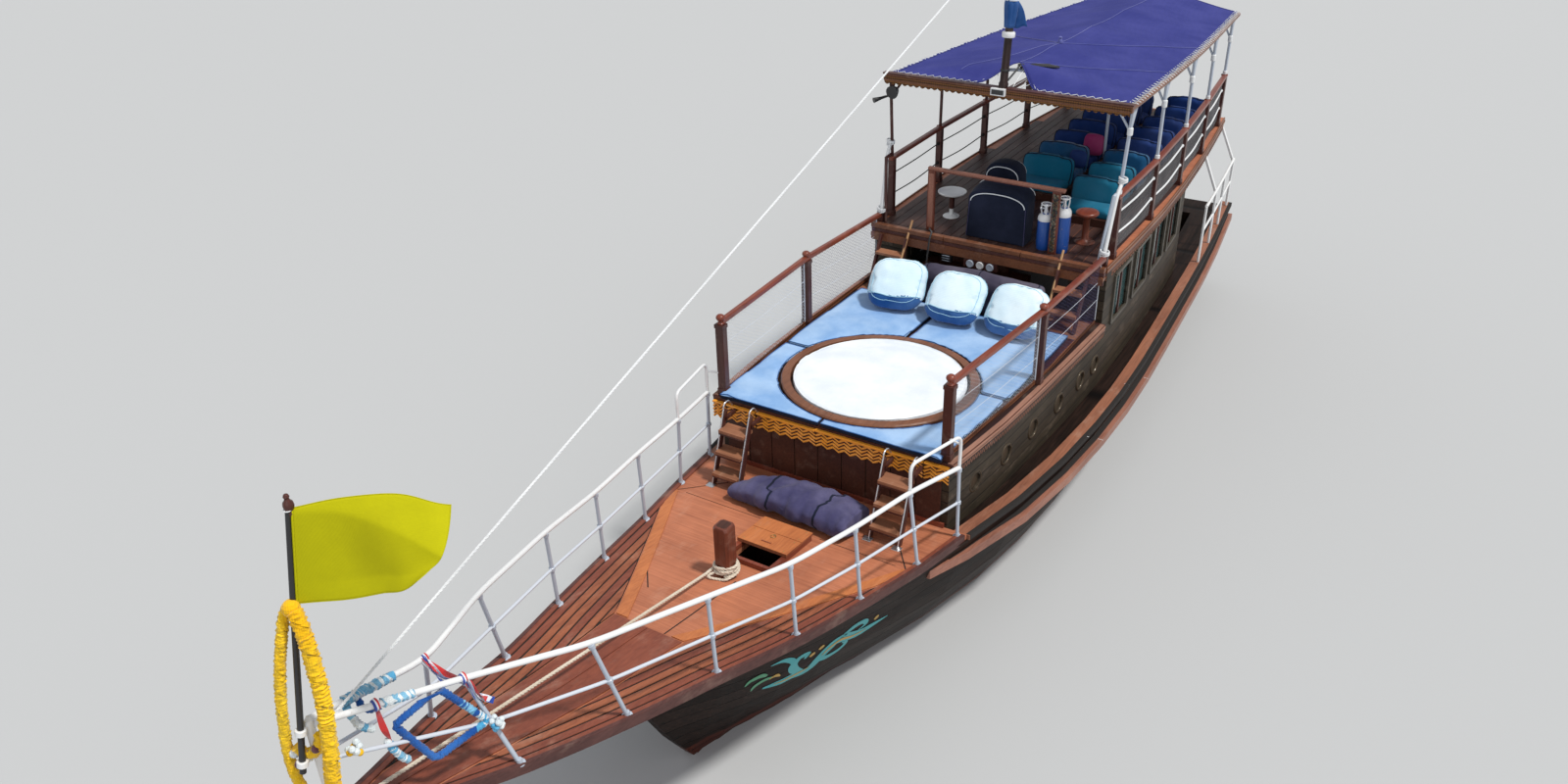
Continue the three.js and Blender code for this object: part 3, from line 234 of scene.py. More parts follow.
def paint(name, colour, rough=0.35, dirt=(0.35, 0.24, 0.17), amount=0.4, coat=0.2, metal=0.0):
    """Painted metal or wood, chipped and stained a little."""
    look = Look(name, rough=rough, coat=coat, metal=metal)
    stain = look.noise(3.0, detail=7.0, rough=0.72)
    speck = look.noise(38.0, detail=2.0)
    base = look.mix(look.times(stain, 0.25), colour, tuple(c * 0.82 for c in colour))
    tone = look.mix(look.times(look.step(stain, 0.56, 0.74), amount), base, halfway(colour, dirt))
    tone = look.mix(look.times(look.step(speck, 0.68, 0.74), amount), tone, dirt)
    return look.finish(tone, speck, 0.0008, 0.4, rough=(stain, rough - 0.08, rough + 0.22))


def cloth(name, colour, other=None, weave=420.0, sheen=0.25, fade=0.1, depth=0.0006):
    """Woven cloth: crossed threads, soft fading and faint stains."""
    look = Look(name, rough=0.85, sheen=sheen, shine=0.2, **{"Sheen Roughness": 0.45})
    waves = [look.math("SINE", look.times(look.axis(letter), weave)) for letter in "XYZ"]
    cross = look.add(look.times(waves[0], waves[1]), look.times(waves[2], 0.5))
    faded = look.noise(1.7, detail=5.0, rough=0.6)
    fine = look.noise(60.0)
    pale = tuple(c + (1.0 - c) * fade for c in colour)
    deep = other or tuple(c * (1.0 - fade) for c in colour)
    tone = look.mix(look.step(faded, 0.3, 0.72), deep, pale)
    tone = look.tinted(tone, cross, 0.04, look.blend(fine, 0.1, 0.93))
    return look.finish(tone, look.add(cross, fine), depth, 0.5)


def painted_hull(name):
    """Near-black planking, worn in patches, with dull red-brown below the waterline."""
    look = Look(name, rough=0.6, shine=0.08)
    height_z = look.axis("Z")
    grain = look.noise(GRAIN["X"], detail=5.0, distortion=0.6)
    stain = look.noise((0.8, 2.0, 3.2), detail=6.0, rough=0.7)
    dark = look.ramp(grain, (0.3, (0.005, 0.0035, 0.003)), (0.75, (0.027, 0.0145, 0.011)))
    red = look.ramp(stain, (0.3, (0.05, 0.014, 0.01)), (0.7, (0.12, 0.034, 0.022)))
    colour = look.mix(look.step(look.blend(stain, 0.12, height_z), 0.24, 0.27), red, dark)
    pick, seam = look.boards(look.blend(look.axis("X"), -0.055, height_z), 0.17, 0.055)
    colour = look.tinted(look.mix(seam, (0.003, 0.002, 0.002), colour), pick, 0.6, 0.7)
    colour = look.mix(look.times(look.step(stain, 0.58, 0.72), 0.25), colour, (0.085, 0.05, 0.036))
    height = look.add(look.times(grain, 0.3), look.times(seam, 1.2))
    return look.finish(colour, height, 0.005, 0.7, rough=(stain, 0.38, 0.62))


def carved(name, light, dark, pitch):
    """Carved trim: small scallops in relief, with painted shade in the hollows."""
    look = Look(name, rough=0.45, shine=0.25)
    waves = [look.math("ABSOLUTE", look.math("SINE", look.times(look.axis(letter), pi / pitch)))
             for letter in "XYZ"]
    relief = look.times(look.add(waves[0], waves[1]), waves[2])
    grain = look.noise(30.0, detail=4.0)
    # The colour follows the relief, so the hollows get painted shade.
    tone = look.add(look.times(relief, 0.4), look.times(grain, 0.4))
    colour = look.ramp(tone, (0.22, dark), (0.8, light))
    return look.finish(colour, look.add(relief, grain), 0.006, 0.8, rough=(grain, 0.35, 0.65))


DECK = wood("deck_timber", (0.33, 0.105, 0.048), (0.135, 0.038, 0.02), worn=0.6)
DECK_PALE = wood("pale_deck_timber", (0.52, 0.175, 0.058), (0.29, 0.082, 0.028), worn=0.4, rough=0.45,
                 coat=0.1)
DECK_RED = wood("red_deck_timber", (0.24, 0.066, 0.036), (0.105, 0.026, 0.017), worn=0.6)
PANEL = wood("deck_panel_timber", (0.5, 0.18, 0.092), (0.245, 0.078, 0.041), along="Y")
# Black pitch for the deck seams, also used for the painted shade in the dark strips on the strakes and cap
# rails.
PITCH_AND_PAINTED_SHADE = paint("seam_pitch_and_painted_shade", (0.012, 0.009, 0.008), rough=0.8, dirt=(0.04, 0.025, 0.02), amount=0.3, coat=0.0)
STRAKE = wood("strake_timber", (0.35, 0.15, 0.1), (0.15, 0.058, 0.04), worn=0.45, rough=0.42, coat=0.1)
CAP = wood("cap_timber", (0.335, 0.136, 0.077), (0.14, 0.05, 0.03), worn=0.7)
EDGE = wood("deck_edge_timber", (0.105, 0.04, 0.034), (0.04, 0.015, 0.014))
PALE_EDGE = wood("weathered_edge_timber", (0.34, 0.175, 0.125), (0.16, 0.075, 0.05), worn=0.7, rough=0.55,
                 coat=0.0)
WALL = wood("wall_timber", (0.046, 0.034, 0.021), (0.014, 0.0105, 0.007), rough=0.55, plank=("Z", 0.14),
            coat=0.0)
DARK = wood("dark_timber", (0.08, 0.027, 0.017), (0.024, 0.009, 0.007))
RAIL = wood("rail_timber", (0.24, 0.055, 0.028), (0.085, 0.018, 0.012), rough=0.32, coat=0.2)
BROWN = wood("brown_timber", (0.22, 0.086, 0.04), (0.085, 0.03, 0.017), rough=0.38, coat=0.15)
RAIL_DARK = wood("dark_rail_timber", (0.085, 0.026, 0.02), (0.028, 0.01, 0.009), along="Z", rough=0.38,
                 coat=0.1)
TREAD = wood("worn_tread_timber", (0.34, 0.15, 0.08), (0.15, 0.058, 0.032), along="Y", worn=0.8, rough=0.55,
             coat=0.0)
# Upper deck boards: both tones are darkened with painted shade from the awning.
FLOOR = wood("upper_floor_timber_in_painted_shade", (0.085, 0.04, 0.032), (0.036, 0.017, 0.014), coat=0.0)
DARK_FLOOR_IN_PAINTED_SHADE = wood("dark_floor_timber_in_painted_shade", (0.062, 0.03, 0.026), (0.026, 0.013, 0.011), worn=0.4, coat=0.0)
POLE = wood("light_pole_timber", (0.5, 0.3, 0.15), (0.28, 0.14, 0.065), along="Z")
POST = wood("post_timber", (0.19, 0.05, 0.026), (0.065, 0.017, 0.011), along="Z", rough=0.36, coat=0.2)
MAST = wood("mast_timber", (0.03, 0.013, 0.012), (0.01, 0.006, 0.006), along="Z", rough=0.45)
FRAME = wood("frame_timber", (0.085, 0.075, 0.06), (0.03, 0.026, 0.02), along="Z", coat=0.15)
GILT = carved("gilt_carving", (0.21, 0.088, 0.024), (0.026, 0.01, 0.007), 0.03)
CARVED = carved("carved_trim", (0.2, 0.07, 0.03), (0.028, 0.01, 0.007), 0.045)
HULL = painted_hull("hull_paint")

RUST = (0.3, 0.19, 0.13)
GOLD = paint("gold_paint", (0.84, 0.33, 0.03), rough=0.38, dirt=(0.2, 0.06, 0.012))
GOLD_DARK = paint("shadowed_gold_paint", (0.06, 0.018, 0.008), rough=0.5, dirt=(0.04, 0.014, 0.008),
                  amount=0.7)
WHITE = paint("white_paint", (0.74, 0.75, 0.76), dirt=RUST)
GREY_PIPE = paint("grey_pipe_paint", (0.42, 0.47, 0.55), dirt=RUST, amount=0.3)
PALE_PIPE = paint("pale_pipe_paint", (0.55, 0.59, 0.66), dirt=RUST, amount=0.3)
CHROME = paint("bright_steel", (0.72, 0.74, 0.77), rough=0.22, metal=0.95, dirt=(0.2, 0.16, 0.13),
               amount=0.25)
BRONZE = paint("bronze", (0.45, 0.28, 0.11), metal=0.9, dirt=(0.06, 0.16, 0.11))
OLD_BRONZE = paint("old_bronze", (0.052, 0.034, 0.017), rough=0.5, metal=0.5, dirt=(0.03, 0.02, 0.014),
                   amount=0.5)
STEEL_BLUE = paint("cylinder_paint", (0.01, 0.07, 0.32), rough=0.28)
BLACK = paint("black_paint", (0.012, 0.012, 0.014), rough=0.4, dirt=(0.06, 0.045, 0.035), amount=0.3)
GLASS = paint("port_glass", (0.01, 0.011, 0.012), rough=0.12, dirt=(0.03, 0.03, 0.03), amount=0.1, coat=0.3)
PANE = paint("window_pane", (0.04, 0.085, 0.088), rough=0.1, dirt=(0.05, 0.06, 0.06), amount=0.15, coat=0.5)
DIAL = paint("dial_face", (0.02, 0.02, 0.022), rough=0.25, dirt=(0.08, 0.08, 0.08), amount=0.1)
TURQUOISE = paint("turquoise_paint", (0.012, 0.33, 0.355), rough=0.4, dirt=(0.01, 0.07, 0.09), amount=0.5)
OCHRE = paint("ochre_paint", (0.46, 0.26, 0.02), rough=0.4, dirt=(0.12, 0.05, 0.01))
GREEN = paint("green_paint", (0.03, 0.24, 0.11), rough=0.4, dirt=(0.01, 0.07, 0.04))

LIGHT_BLUE = cloth("light_blue_canvas", (0.235, 0.425, 0.7), (0.17, 0.335, 0.62), fade=0.14)
NAVY = cloth("navy_canvas", (0.005, 0.01, 0.034), (0.003, 0.006, 0.018), fade=0.01, sheen=0.04)
SLATE = cloth("slate_canvas", (0.07, 0.063, 0.16), (0.035, 0.033, 0.095), fade=0.04, sheen=0.1)
ROLL_GREY = cloth("bolster_canvas", (0.07, 0.058, 0.096), (0.044, 0.038, 0.066), fade=0.04, sheen=0.05)
WHITE_CLOTH = cloth("white_canvas", (0.8, 0.83, 0.87), (0.66, 0.72, 0.8))
COVER = cloth("pillow_cover", (0.72, 0.85, 0.92), (0.58, 0.75, 0.86), fade=0.05)
PIPING = cloth("cyan_piping", (0.32, 0.58, 0.74), weave=900.0)
WHITE_PIPING = cloth("white_piping", (0.78, 0.82, 0.86), weave=900.0)
AWNING = cloth("awning_canvas", (0.031, 0.037, 0.212), (0.025, 0.031, 0.18), fade=0.01, sheen=0.0)
AWNING_SEAM = cloth("awning_seam", (0.09, 0.105, 0.34), weave=900.0, fade=0.05)
FURLED = cloth("furled_canvas", (0.008, 0.085, 0.3), (0.005, 0.055, 0.21), fade=0.04)
CUSHION_BLUE = cloth("cushion_blue_canvas", (0.01, 0.11, 0.33), (0.006, 0.07, 0.25), fade=0.06)
TEAL = cloth("teal_canvas", (0.002, 0.135, 0.235), fade=0.02, sheen=0.02)
SEA_BLUE = cloth("lounge_sea_blue", (0.002, 0.075, 0.19), weave=500.0, fade=0.03)
INDIGO = cloth("indigo_canvas", (0.005, 0.03, 0.15), fade=0.02, sheen=0.03)
MAGENTA = cloth("magenta_canvas", (0.36, 0.018, 0.13), fade=0.05, sheen=0.15)
# Flag yellow, darkened with painted shade as if the flag faced away from the sun.
YELLOW_IN_PAINTED_SHADE = cloth("yellow_cloth", (0.46, 0.44, 0.0006), (0.4, 0.38, 0.0006), weave=900.0, fade=0.0, sheen=0.0)
OLD_MARIGOLD = cloth("old_marigold", (0.2, 0.105, 0.02), (0.06, 0.036, 0.013), weave=120.0, fade=0.2,
                     depth=0.004)
OLD_LEAF = cloth("old_leaf", (0.055, 0.048, 0.016), weave=120.0, fade=0.2, depth=0.004)
PETALS = {"weave": 300.0, "depth": 0.003}
MARIGOLD = cloth("marigold_petals", (0.9, 0.6, 0.002), (0.8, 0.43, 0.002), fade=0.02, **PETALS)
CYAN_PETALS = cloth("cyan_petals", (0.1, 0.46, 0.66), (0.04, 0.3, 0.55), fade=0.3, **PETALS)
WHITE_PETALS = cloth("white_petals", (0.8, 0.83, 0.84), (0.6, 0.68, 0.72), **PETALS)
BLUE_PETALS = cloth("blue_petals", (0.002, 0.115, 0.43), (0.002, 0.055, 0.27), fade=0.03, **PETALS)
PLUM_PETALS = cloth("plum_petals", (0.1, 0.012, 0.03), **PETALS)
RED_RIBBON = cloth("red_ribbon", (0.55, 0.02, 0.022), weave=900.0, fade=0.05, sheen=0.4)
BLUE_RIBBON = cloth("blue_ribbon", (0.01, 0.045, 0.3), weave=900.0, fade=0.05, sheen=0.4)
ROPE = cloth("rope_fibre", (0.62, 0.54, 0.43), weave=260.0, fade=0.12, depth=0.002)
ROPE_WHITE = cloth("white_rope", (0.74, 0.76, 0.78), weave=300.0, depth=0.0015)
BLACK_ROPE = cloth("black_rope", (0.016, 0.017, 0.02), weave=300.0, fade=0.04, depth=0.0015)
NET = cloth("net_cord", (0.46, 0.54, 0.64), weave=500.0)
DARK_NET = cloth("dark_net_cord", (0.075, 0.075, 0.085), weave=500.0)

FINISHES = {
    "hull_paint": HULL, "dark_wood": DARK, "deck_wood": DECK, "rail_wood": RAIL, "gold_paint": GOLD,
    "white_pipe": WHITE, "white_cloth": WHITE_CLOTH, "blue_cloth": LIGHT_BLUE, "navy_cloth": NAVY,
    "awning_cloth": AWNING, "teal_cloth": TEAL, "rope": ROPE, "yellow_cloth": YELLOW_IN_PAINTED_SHADE, "bronze": BRONZE,
    "cylinder_paint": STEEL_BLUE,
}
OWN_FINISH = {
    "forward_cabin": WALL, "saloon": WALL, "foredeck": PANEL, "bed_ring": BROWN, "mast": MAST,
    "sun_deck": RAIL_DARK, "upper_deck": PANEL, "awning_bows": GREY_PIPE, "awning_posts_port": GREY_PIPE,
    "awning_posts_starboard": RAIL_DARK, "awning_front_beam": BROWN, "stool": RAIL, "upper_deck_beam": BROWN,
}
PAIRED_FINISH = {"rubbing_strake": STRAKE, "cap_rail": CAP, "bow_ladder": BROWN, "deck_steps": BROWN,
                 "sun_rail": POST}
for row in frame["record"]["subparts"]:
    node = row["node"]
    paired = PAIRED_FINISH.get(node.rsplit("_", 1)[0])
    slots = nodes[node].data.materials
    slots.clear()
    slots.append(paired or OWN_FINISH.get(node, FINISHES[row["material_slot"]]))

# Shapes


def between(a, b, count):
    return [a + (b - a) * i / count for i in range(count + 1)]


def turns(count):
    """Angles evenly round a circle."""
    return between(0, 2 * pi, count)[:-1]


def circle(at, across, up, count):
    return [Vector(at) + Vector(across) * cos(a) + Vector(up) * sin(a) for a in turns(count)]


def signed(value, power):
    return copysign(abs(value) ** power, value)


def smooth_line(rows):
    """Value at x along straight pieces through rows of (x, value)."""
    rows = sorted(rows)

    def at(x):
        for (x0, v0), (x1, v1) in zip(rows, rows[1:]):
            if x <= x1:
                return v0 + (v1 - v0) * max(0.0, (x - x0) / (x1 - x0))
        return rows[-1][1]
    return at


def spline(points, steps=8, closed=False):
    """Points along a Catmull-Rom curve through the given points."""
    points = [Vector(p) for p in points]
    count = len(points)
    ends = (points[-1], points[0], points[1 % count]) if closed else (points[0], points[-1], points[-1])
    row = [ends[0], *points, ends[1], *([ends[2]] if closed else [])]
    line = []
    for i in range(1, len(row) - 2):
        a, b, c, d = row[i - 1:i + 3]
        for k in range(steps):
            t = k / steps
            line.append(0.5 * (2 * b + (c - a) * t + (2 * a - 5 * b + 4 * c - d) * t * t
                               + (3 * b - a - 3 * c + d) * t ** 3))
    return line if closed else [*line, points[-1]]


def frames(path, closed=False):
    """Direction, side and rise at each point of a path, without twist."""
    side = None
    for i, p in enumerate(path):
        before = path[i - 1] if i or closed else p
        after = path[(i + 1) % len(path)] if i < len(path) - 1 or closed else p
        along = (after - before).normalized()
        side = along.orthogonal().normalized() if side is None else side
        side = (side - along * side.dot(along)).normalized()
        yield along, side, along.cross(side)


def dense(line, pitch):
    """More points along a closed line, evenly between its corners."""
    line = [Vector(p) for p in line]
    return [a.lerp(b, t) for a, b in zip(line, line[1:] + line[:1])
            for t in between(0, 1, max(1, round((b - a).length / pitch)))[:-1]]


class Shape:
    """Vertices and faces of one piece, with a material number for each face."""

    def __init__(self):
        self.points = []
        self.faces = []
        self.kinds = []

    def add(self, points, faces, kind=0):
        base = len(self.points)
        self.points += [tuple(p) for p in points]
        self.faces += [tuple(base + i for i in face) for face in faces]
        self.kinds += kind if isinstance(kind, list) else [kind] * len(faces)
        return self

    def box(self, low, high, kind=0):
        """A box between two corners."""
        middle = (Vector(low) + Vector(high)) / 2
        half = (Vector(high) - Vector(low)) / 2
        corners = [middle + Vector((sx * half.x, sy * half.y, sz * half.z))
                   for sx in (-1, 1) for sy in (-1, 1) for sz in (-1, 1)]
        return self.add(corners, [(0, 1, 3, 2), (4, 6, 7, 5), (0, 4, 5, 1), (2, 3, 7, 6), (0, 2, 6, 4),
                                  (1, 5, 7, 3)], kind)

    def beam(self, start, end, width, height, kind=0, up=(0, 0, 1)):
        """A straight bar of rectangular section."""
        start, end = Vector(start), Vector(end)
        along = (end - start).normalized()
        side = along.cross(Vector(up)).normalized() * width / 2
        rise = side.cross(along).normalized() * height / 2
        ring = [side + rise, rise - side, -side - rise, side - rise]
        faces = [(3, 2, 1, 0), (4, 5, 6, 7)] + [(i, (i + 1) % 4, (i + 1) % 4 + 4, i + 4) for i in range(4)]
        return self.add([p + r for p in (start, end) for r in ring], faces, kind)

    def tube(self, path, radius, sides=8, closed=False, kind=0):
        """A round bar along a path; radius is one value or one for each point."""
        path = [Vector(p) for p in path]
        radii = radius if isinstance(radius, list) else [radius] * len(path)
        rings = [[p + r * (side * cos(a) + rise * sin(a))
                  for a in (2 * pi * k / sides for k in range(sides))]
                 for p, r, (along, side, rise) in zip(path, radii, frames(path, closed))]
        return self.loft(rings, kind, closed)

    def loft(self, rings, kind=0, closed=False, shut=True):
        """A skin over rings of points; its ends are shut unless the path is closed."""
        count, sides = len(rings), len(rings[0])
        faces = [(i * sides + k, i * sides + (k + 1) % sides, (i + 1) % count * sides + (k + 1) % sides,
                  (i + 1) % count * sides + k) for i in range(count - (not closed)) for k in range(sides)]
        if shut and not closed:
            faces += [tuple(reversed(range(sides))), tuple(range((count - 1) * sides, count * sides))]
        return self.add([p for ring in rings for p in ring], faces, kind)

    def strip(self, left, right, thick, kind=0, rise=(0, 0, 1)):
        """A flat board over two edge lines with the same number of points, which give its underside."""
        lift = Vector(rise).normalized() * thick
        count = len(left)
        low = [Vector(p) for p in [*left, *right]]
        top = 2 * count
        faces = []
        for a in range(count - 1):
            b, c, d = a + 1, count + a + 1, count + a
            faces += [(a, b, c, d), (top + d, top + c, top + b, top + a),
                      (top + a, top + b, b, a), (d, c, top + c, top + d)]
        end = count - 1
        faces += [(0, count, top + count, top), (top + end, top + count + end, count + end, end)]
        return self.add(low + [p + lift for p in low], faces, kind)

    def turned(self, rows, at=(0, 0, 0), sides=16, axis=(0, 0, 1), kind=0):
        """A turned body: rows of (radius, distance along the axis); a radius of 0 closes it to a point."""
        axis = Vector(axis).normalized()
        side = axis.orthogonal().normalized()
        rise = axis.cross(side)
        points, rings = [], []
        for radius, height in rows:
            middle = Vector(at) + axis * height
            if radius <= 1e-6:
                rings.append([len(points)] * sides)
                points.append(middle)
                continue
            rings.append([len(points) + k for k in range(sides)])
            points += [middle + radius * (side * cos(a) + rise * sin(a))
                       for a in (2 * pi * k / sides for k in range(sides))]
        faces = []
        for low, high in zip(rings, rings[1:]):
            for k in range(sides):
                m = (k + 1) % sides
                corner = tuple(dict.fromkeys((low[k], low[m], high[m], high[k])))
                if len(corner) > 2:
                    faces.append(corner)
        for ring, way in ((rings[0], -1), (rings[-1], 1)):
            if ring[0] != ring[1]:
                faces.append(tuple(ring[::way]))
        return self.add(points, faces, kind)

    def ball(self, at, radius, sides=12, kind=0):
        steps = max(4, sides // 2)
        rows = [(radius * sin(pi * i / steps), -radius * cos(pi * i / steps)) for i in range(steps + 1)]
        return self.turned([(0.0, rows[0][1]), *rows[1:-1], (0.0, rows[-1][1])], at, sides, kind=kind)

    def prism(self, points, lift):
        """A solid between an outline and the same outline moved by lift."""
        low = [Vector(p) for p in points]
        count = len(low)
        faces = [tuple(reversed(range(count))), tuple(range(count, 2 * count))]
        faces += [(i, (i + 1) % count, count + (i + 1) % count, count + i) for i in range(count)]
        return self.add(low + [p + Vector(lift) for p in low], faces)

    def grid(self, rows):
        """A sheet through rows of points."""
        count = len(rows[0])
        faces = [(i * count + k, i * count + k + 1, (i + 1) * count + k + 1, (i + 1) * count + k)
                 for i in range(len(rows) - 1) for k in range(count - 1)]
        return self.add([p for row in rows for p in row], faces)

    def make(self, name, *looks, body="boat", sharp=38.0, bevel=0.0, rounds=0, thick=0.0, replaces=(),
             loose=False):
        mesh = bpy.data.meshes.new(name)
        mesh.from_pydata(self.points, [], self.faces)
        for look in looks:
            mesh.materials.append(look)
        mesh.polygons.foreach_set("material_index", self.kinds)
        mesh.validate()
        outward = bmesh.new()
        outward.from_mesh(mesh)
        bmesh.ops.recalc_face_normals(outward, faces=outward.faces)
        outward.to_mesh(mesh)
        outward.free()
        mesh.polygons.foreach_set("use_smooth", [True] * len(mesh.polygons))
        mesh.set_sharp_from_angle(angle=radians(sharp))
        piece = link(name, mesh)
        if loose:
            return piece
        if thick:
            piece.modifiers.new("thickness", "SOLIDIFY").thickness = thick
        if bevel:
            edges = piece.modifiers.new("rounding", "BEVEL")
            edges.width = bevel
            edges.segments = 2
            edges.limit_method = "ANGLE"
            edges.angle_limit = radians(40)
            edges.harden_normals = True
        smoothed(piece, rounds)
        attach(piece, body)
        if replaces:
            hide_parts(*replaces)
        return piece


def smoothed(piece, rounds=1):
    if rounds:
        subdivision = piece.modifiers.new("smoothing", "SUBSURF")
        subdivision.levels = rounds
        subdivision.render_levels = rounds


def rope(shape, path, radius, lay=None, sides=6):
    """A laid rope of three twisted strands along a path."""
    path = [Vector(p) for p in path]
    lay = lay or radius * 7
    line, travel = [path[0]], [0.0]
    for a, b in zip(path, path[1:]):
        pieces = max(1, ceil((b - a).length / (lay / 7)))
        for k in range(1, pieces + 1):
            line.append(a.lerp(b, k / pieces))
            travel.append(travel[-1] + (b - a).length / pieces)
    for strand in range(3):
        twisted = []
        for p, far, (along, side, rise) in zip(line, travel, frames(line)):
            angle = 2 * pi * (far / lay + strand / 3)
            twisted.append(p + radius * 0.5 * (side * cos(angle) + rise * sin(angle)))
        shape.tube(twisted, radius * 0.56, sides)


def surface(*names):
    """Finds where a ray meets any of the CAD nodes."""
    trees = [tree_of(nodes[name]) for name in names]

    def hit(start, direction):
        found = [tree.ray_cast(Vector(start), Vector(direction).normalized()) for tree in trees]
        found = [f for f in found if f[0] is not None]
        return min(found, key=lambda f: f[3])[:2] if found else (None, None)
    return hit


def tree_of(piece):
    return BVHTree.FromPolygons([v.co for v in piece.data.vertices],
                                [p.vertices for p in piece.data.polygons])


def snapped(piece, points, lift=0.0):
    """Points moved to the nearest place on a piece."""
    tree = tree_of(piece)
    found = [tree.find_nearest(Vector(point))[:2] for point in points]
    return [place + normal * lift for place, normal in found]


PRESSURE = 4.0                   # of the air that blows the pads up
BLOWING_TIME = 20                # in frames


def swell(*rows):
    """Blows padded pieces up as cloth; rows of (piece, voxel size, farthest move, rest height)."""
    starts = []
    for piece, voxel, cap, rest in rows:
        grid = piece.modifiers.new("grid", "REMESH")
        grid.mode = "VOXEL"
        grid.voxel_size = voxel
        mesh = bpy.data.meshes.new_from_object(piece.evaluated_get(bpy.context.evaluated_depsgraph_get()))
        piece.modifiers.clear()
        piece.data = mesh
        starts.append([v.co.copy() for v in mesh.vertices])
        fabric = piece.modifiers.new("fabric", "CLOTH").settings
        fabric.use_pressure = True
        fabric.uniform_pressure_force = PRESSURE
        fabric.effector_weights.gravity = 0.0
        fabric.quality = 4
    for number in range(1, BLOWING_TIME + 1):
        scene.frame_set(number)
    depsgraph = bpy.context.evaluated_depsgraph_get()
    for (piece, voxel, cap, rest), start in zip(rows, starts):
        blown = [v.co.copy() for v in piece.evaluated_get(depsgraph).data.vertices]
        for vertex, before, after in zip(piece.data.vertices, start, blown):
            move = after - before
            vertex.co = before + move * min(1.0, cap / max(move.length, 1e-6))
        piece.modifiers.remove(piece.modifiers["fabric"])
        if rest is not None:
            for vertex in piece.data.vertices:
                vertex.co.z = max(vertex.co.z, rest(vertex.co.x))
    scene.frame_set(1)


def finish_soft(piece, pick=None, replaces=()):
    """Smooth shading, a look for each face by its centre and normal, one subdivision, and its place."""
    for polygon in piece.data.polygons:
        polygon.use_smooth = True
        if pick:
            polygon.material_index = pick(polygon.center, polygon.normal)
    smoothed(piece)
    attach(piece, "boat")
    if replaces:
        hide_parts(*replaces)


def wrinkle(piece, scale, depth, seed=0.0, stretch=(1.0, 1.0, 1.0)):
    """Soft irregular folds: every point moves along its normal by smooth noise."""
    for vertex in piece.data.vertices:
        place = Vector(a * b for a, b in zip(vertex.co, stretch)) * scale + Vector((seed, seed * 0.7, -seed))
        vertex.co += vertex.normal * depth * noise.noise(place)


# Tops and edges of the decks, found on the CAD nodes


def deck_lines(node, low, high, probe=0.4, count=48):
    """Height of the top and half-breadth of the edge of a deck, as lines along the boat."""
    find = surface(node)
    heights, edges = [], []
    for x in between(low, high, count):
        for z in between(3.2, 1.3, 38):
            side = find((x, 4.0, z), (0, -1, 0))[0]
            if side:
                break
        top = find((x, side.y * probe, 6.0), (0, 0, -1))[0]
        heights.append((x, top.z))
        edges.append((x, find((x, 4.0, top.z - 0.012), (0, -1, 0))[0].y))
    return smooth_line(heights), smooth_line(edges)


deck_z, deck_y = deck_lines("foredeck", 2.36, 9.03)
sun_z, sun_y = deck_lines("sun_deck", -1.72, 2.4, probe=0.93)
upper_y = deck_lines("upper_deck", -8.66, -1.76, probe=0.9)[1]
UPPER_TOP = 2.98

# Foredeck: planks along the edges, a board between them and the middle panels, a king plank, dark seams

PLANK = 0.092
SEAM = 0.02
MARGIN = 0.1
DECK_EDGE = 0.085                # height of the dark edge of the deck
BREAK_X = 5.6                    # where the middle panels end in the king plank


def plank_limit(x):
    return 0.4 + (BREAK_X - x) * (0.5 if x < BREAK_X else 0.068)


def deck_strip(shape, stations, sign, outer, inner, thick, kind=0, lift=0.001):
    """A board on the foredeck between two lines, each given as its distance from the middle at x."""
    shape.strip(*[[(x, sign * line(x), deck_z(x) + lift) for x in stations] for line in (outer, inner)],
                thick, kind=kind)


planks = Shape()
seams = Shape()
for sign in (1, -1):
    stations = between(2.37, 9.02, 44)
    deck_strip(planks, stations, sign, lambda x: deck_y(x) - 0.004,
               lambda x: max(deck_y(x) - MARGIN + SEAM, 0.03), 0.012, 1)
    planks.strip(*[[(x, sign * (deck_y(x) + 0.002), deck_z(x) + drop) for x in stations]
                   for drop in (0.013, -DECK_EDGE)], 0.004, kind=4, rise=(0, sign, 0))
    deck_strip(planks, stations, sign, lambda x: max(deck_y(x) + 0.004, 0.01),
               lambda x: max(deck_y(x) - 0.034, 0.01), 0.005, 4, 0.012)
    for k in range(9):
        offset = MARGIN + k * PLANK
        inside = [x for x in between(2.6, 9.0, 640) if deck_y(x) - offset > plank_limit(x) + 0.004]
        if len(inside) >= 8:
            lines = [lambda x, far=far: max(deck_y(x) - far, plank_limit(x) + 0.002)
                     for far in (offset, offset + PLANK - SEAM)]
            deck_strip(planks, between(inside[0], inside[-1], 60), sign, *lines, 0.01, 0 if k % 3 else 2)
    vee = [lambda x, gap=gap: min(plank_limit(x) - gap, deck_y(x) - MARGIN + gap) for gap in (SEAM, 0.15)]
    deck_strip(planks, between(3.3, BREAK_X, 16), sign, *vee, 0.01, 3)
    deck_strip(planks, between(BREAK_X + 0.02, 8.95, 24), sign,
               lambda x: min(plank_limit(x) - SEAM, deck_y(x) - 0.1), lambda x: 0.004, 0.01, 2)
    deck_strip(seams, between(3.2, 8.9, 40), sign, lambda x: max(deck_y(x) - 0.03, 0.01),
               lambda x: max(min(plank_limit(x) - 0.005, deck_y(x) - 0.05), 0.01), 0.002, 0, 0.0008)
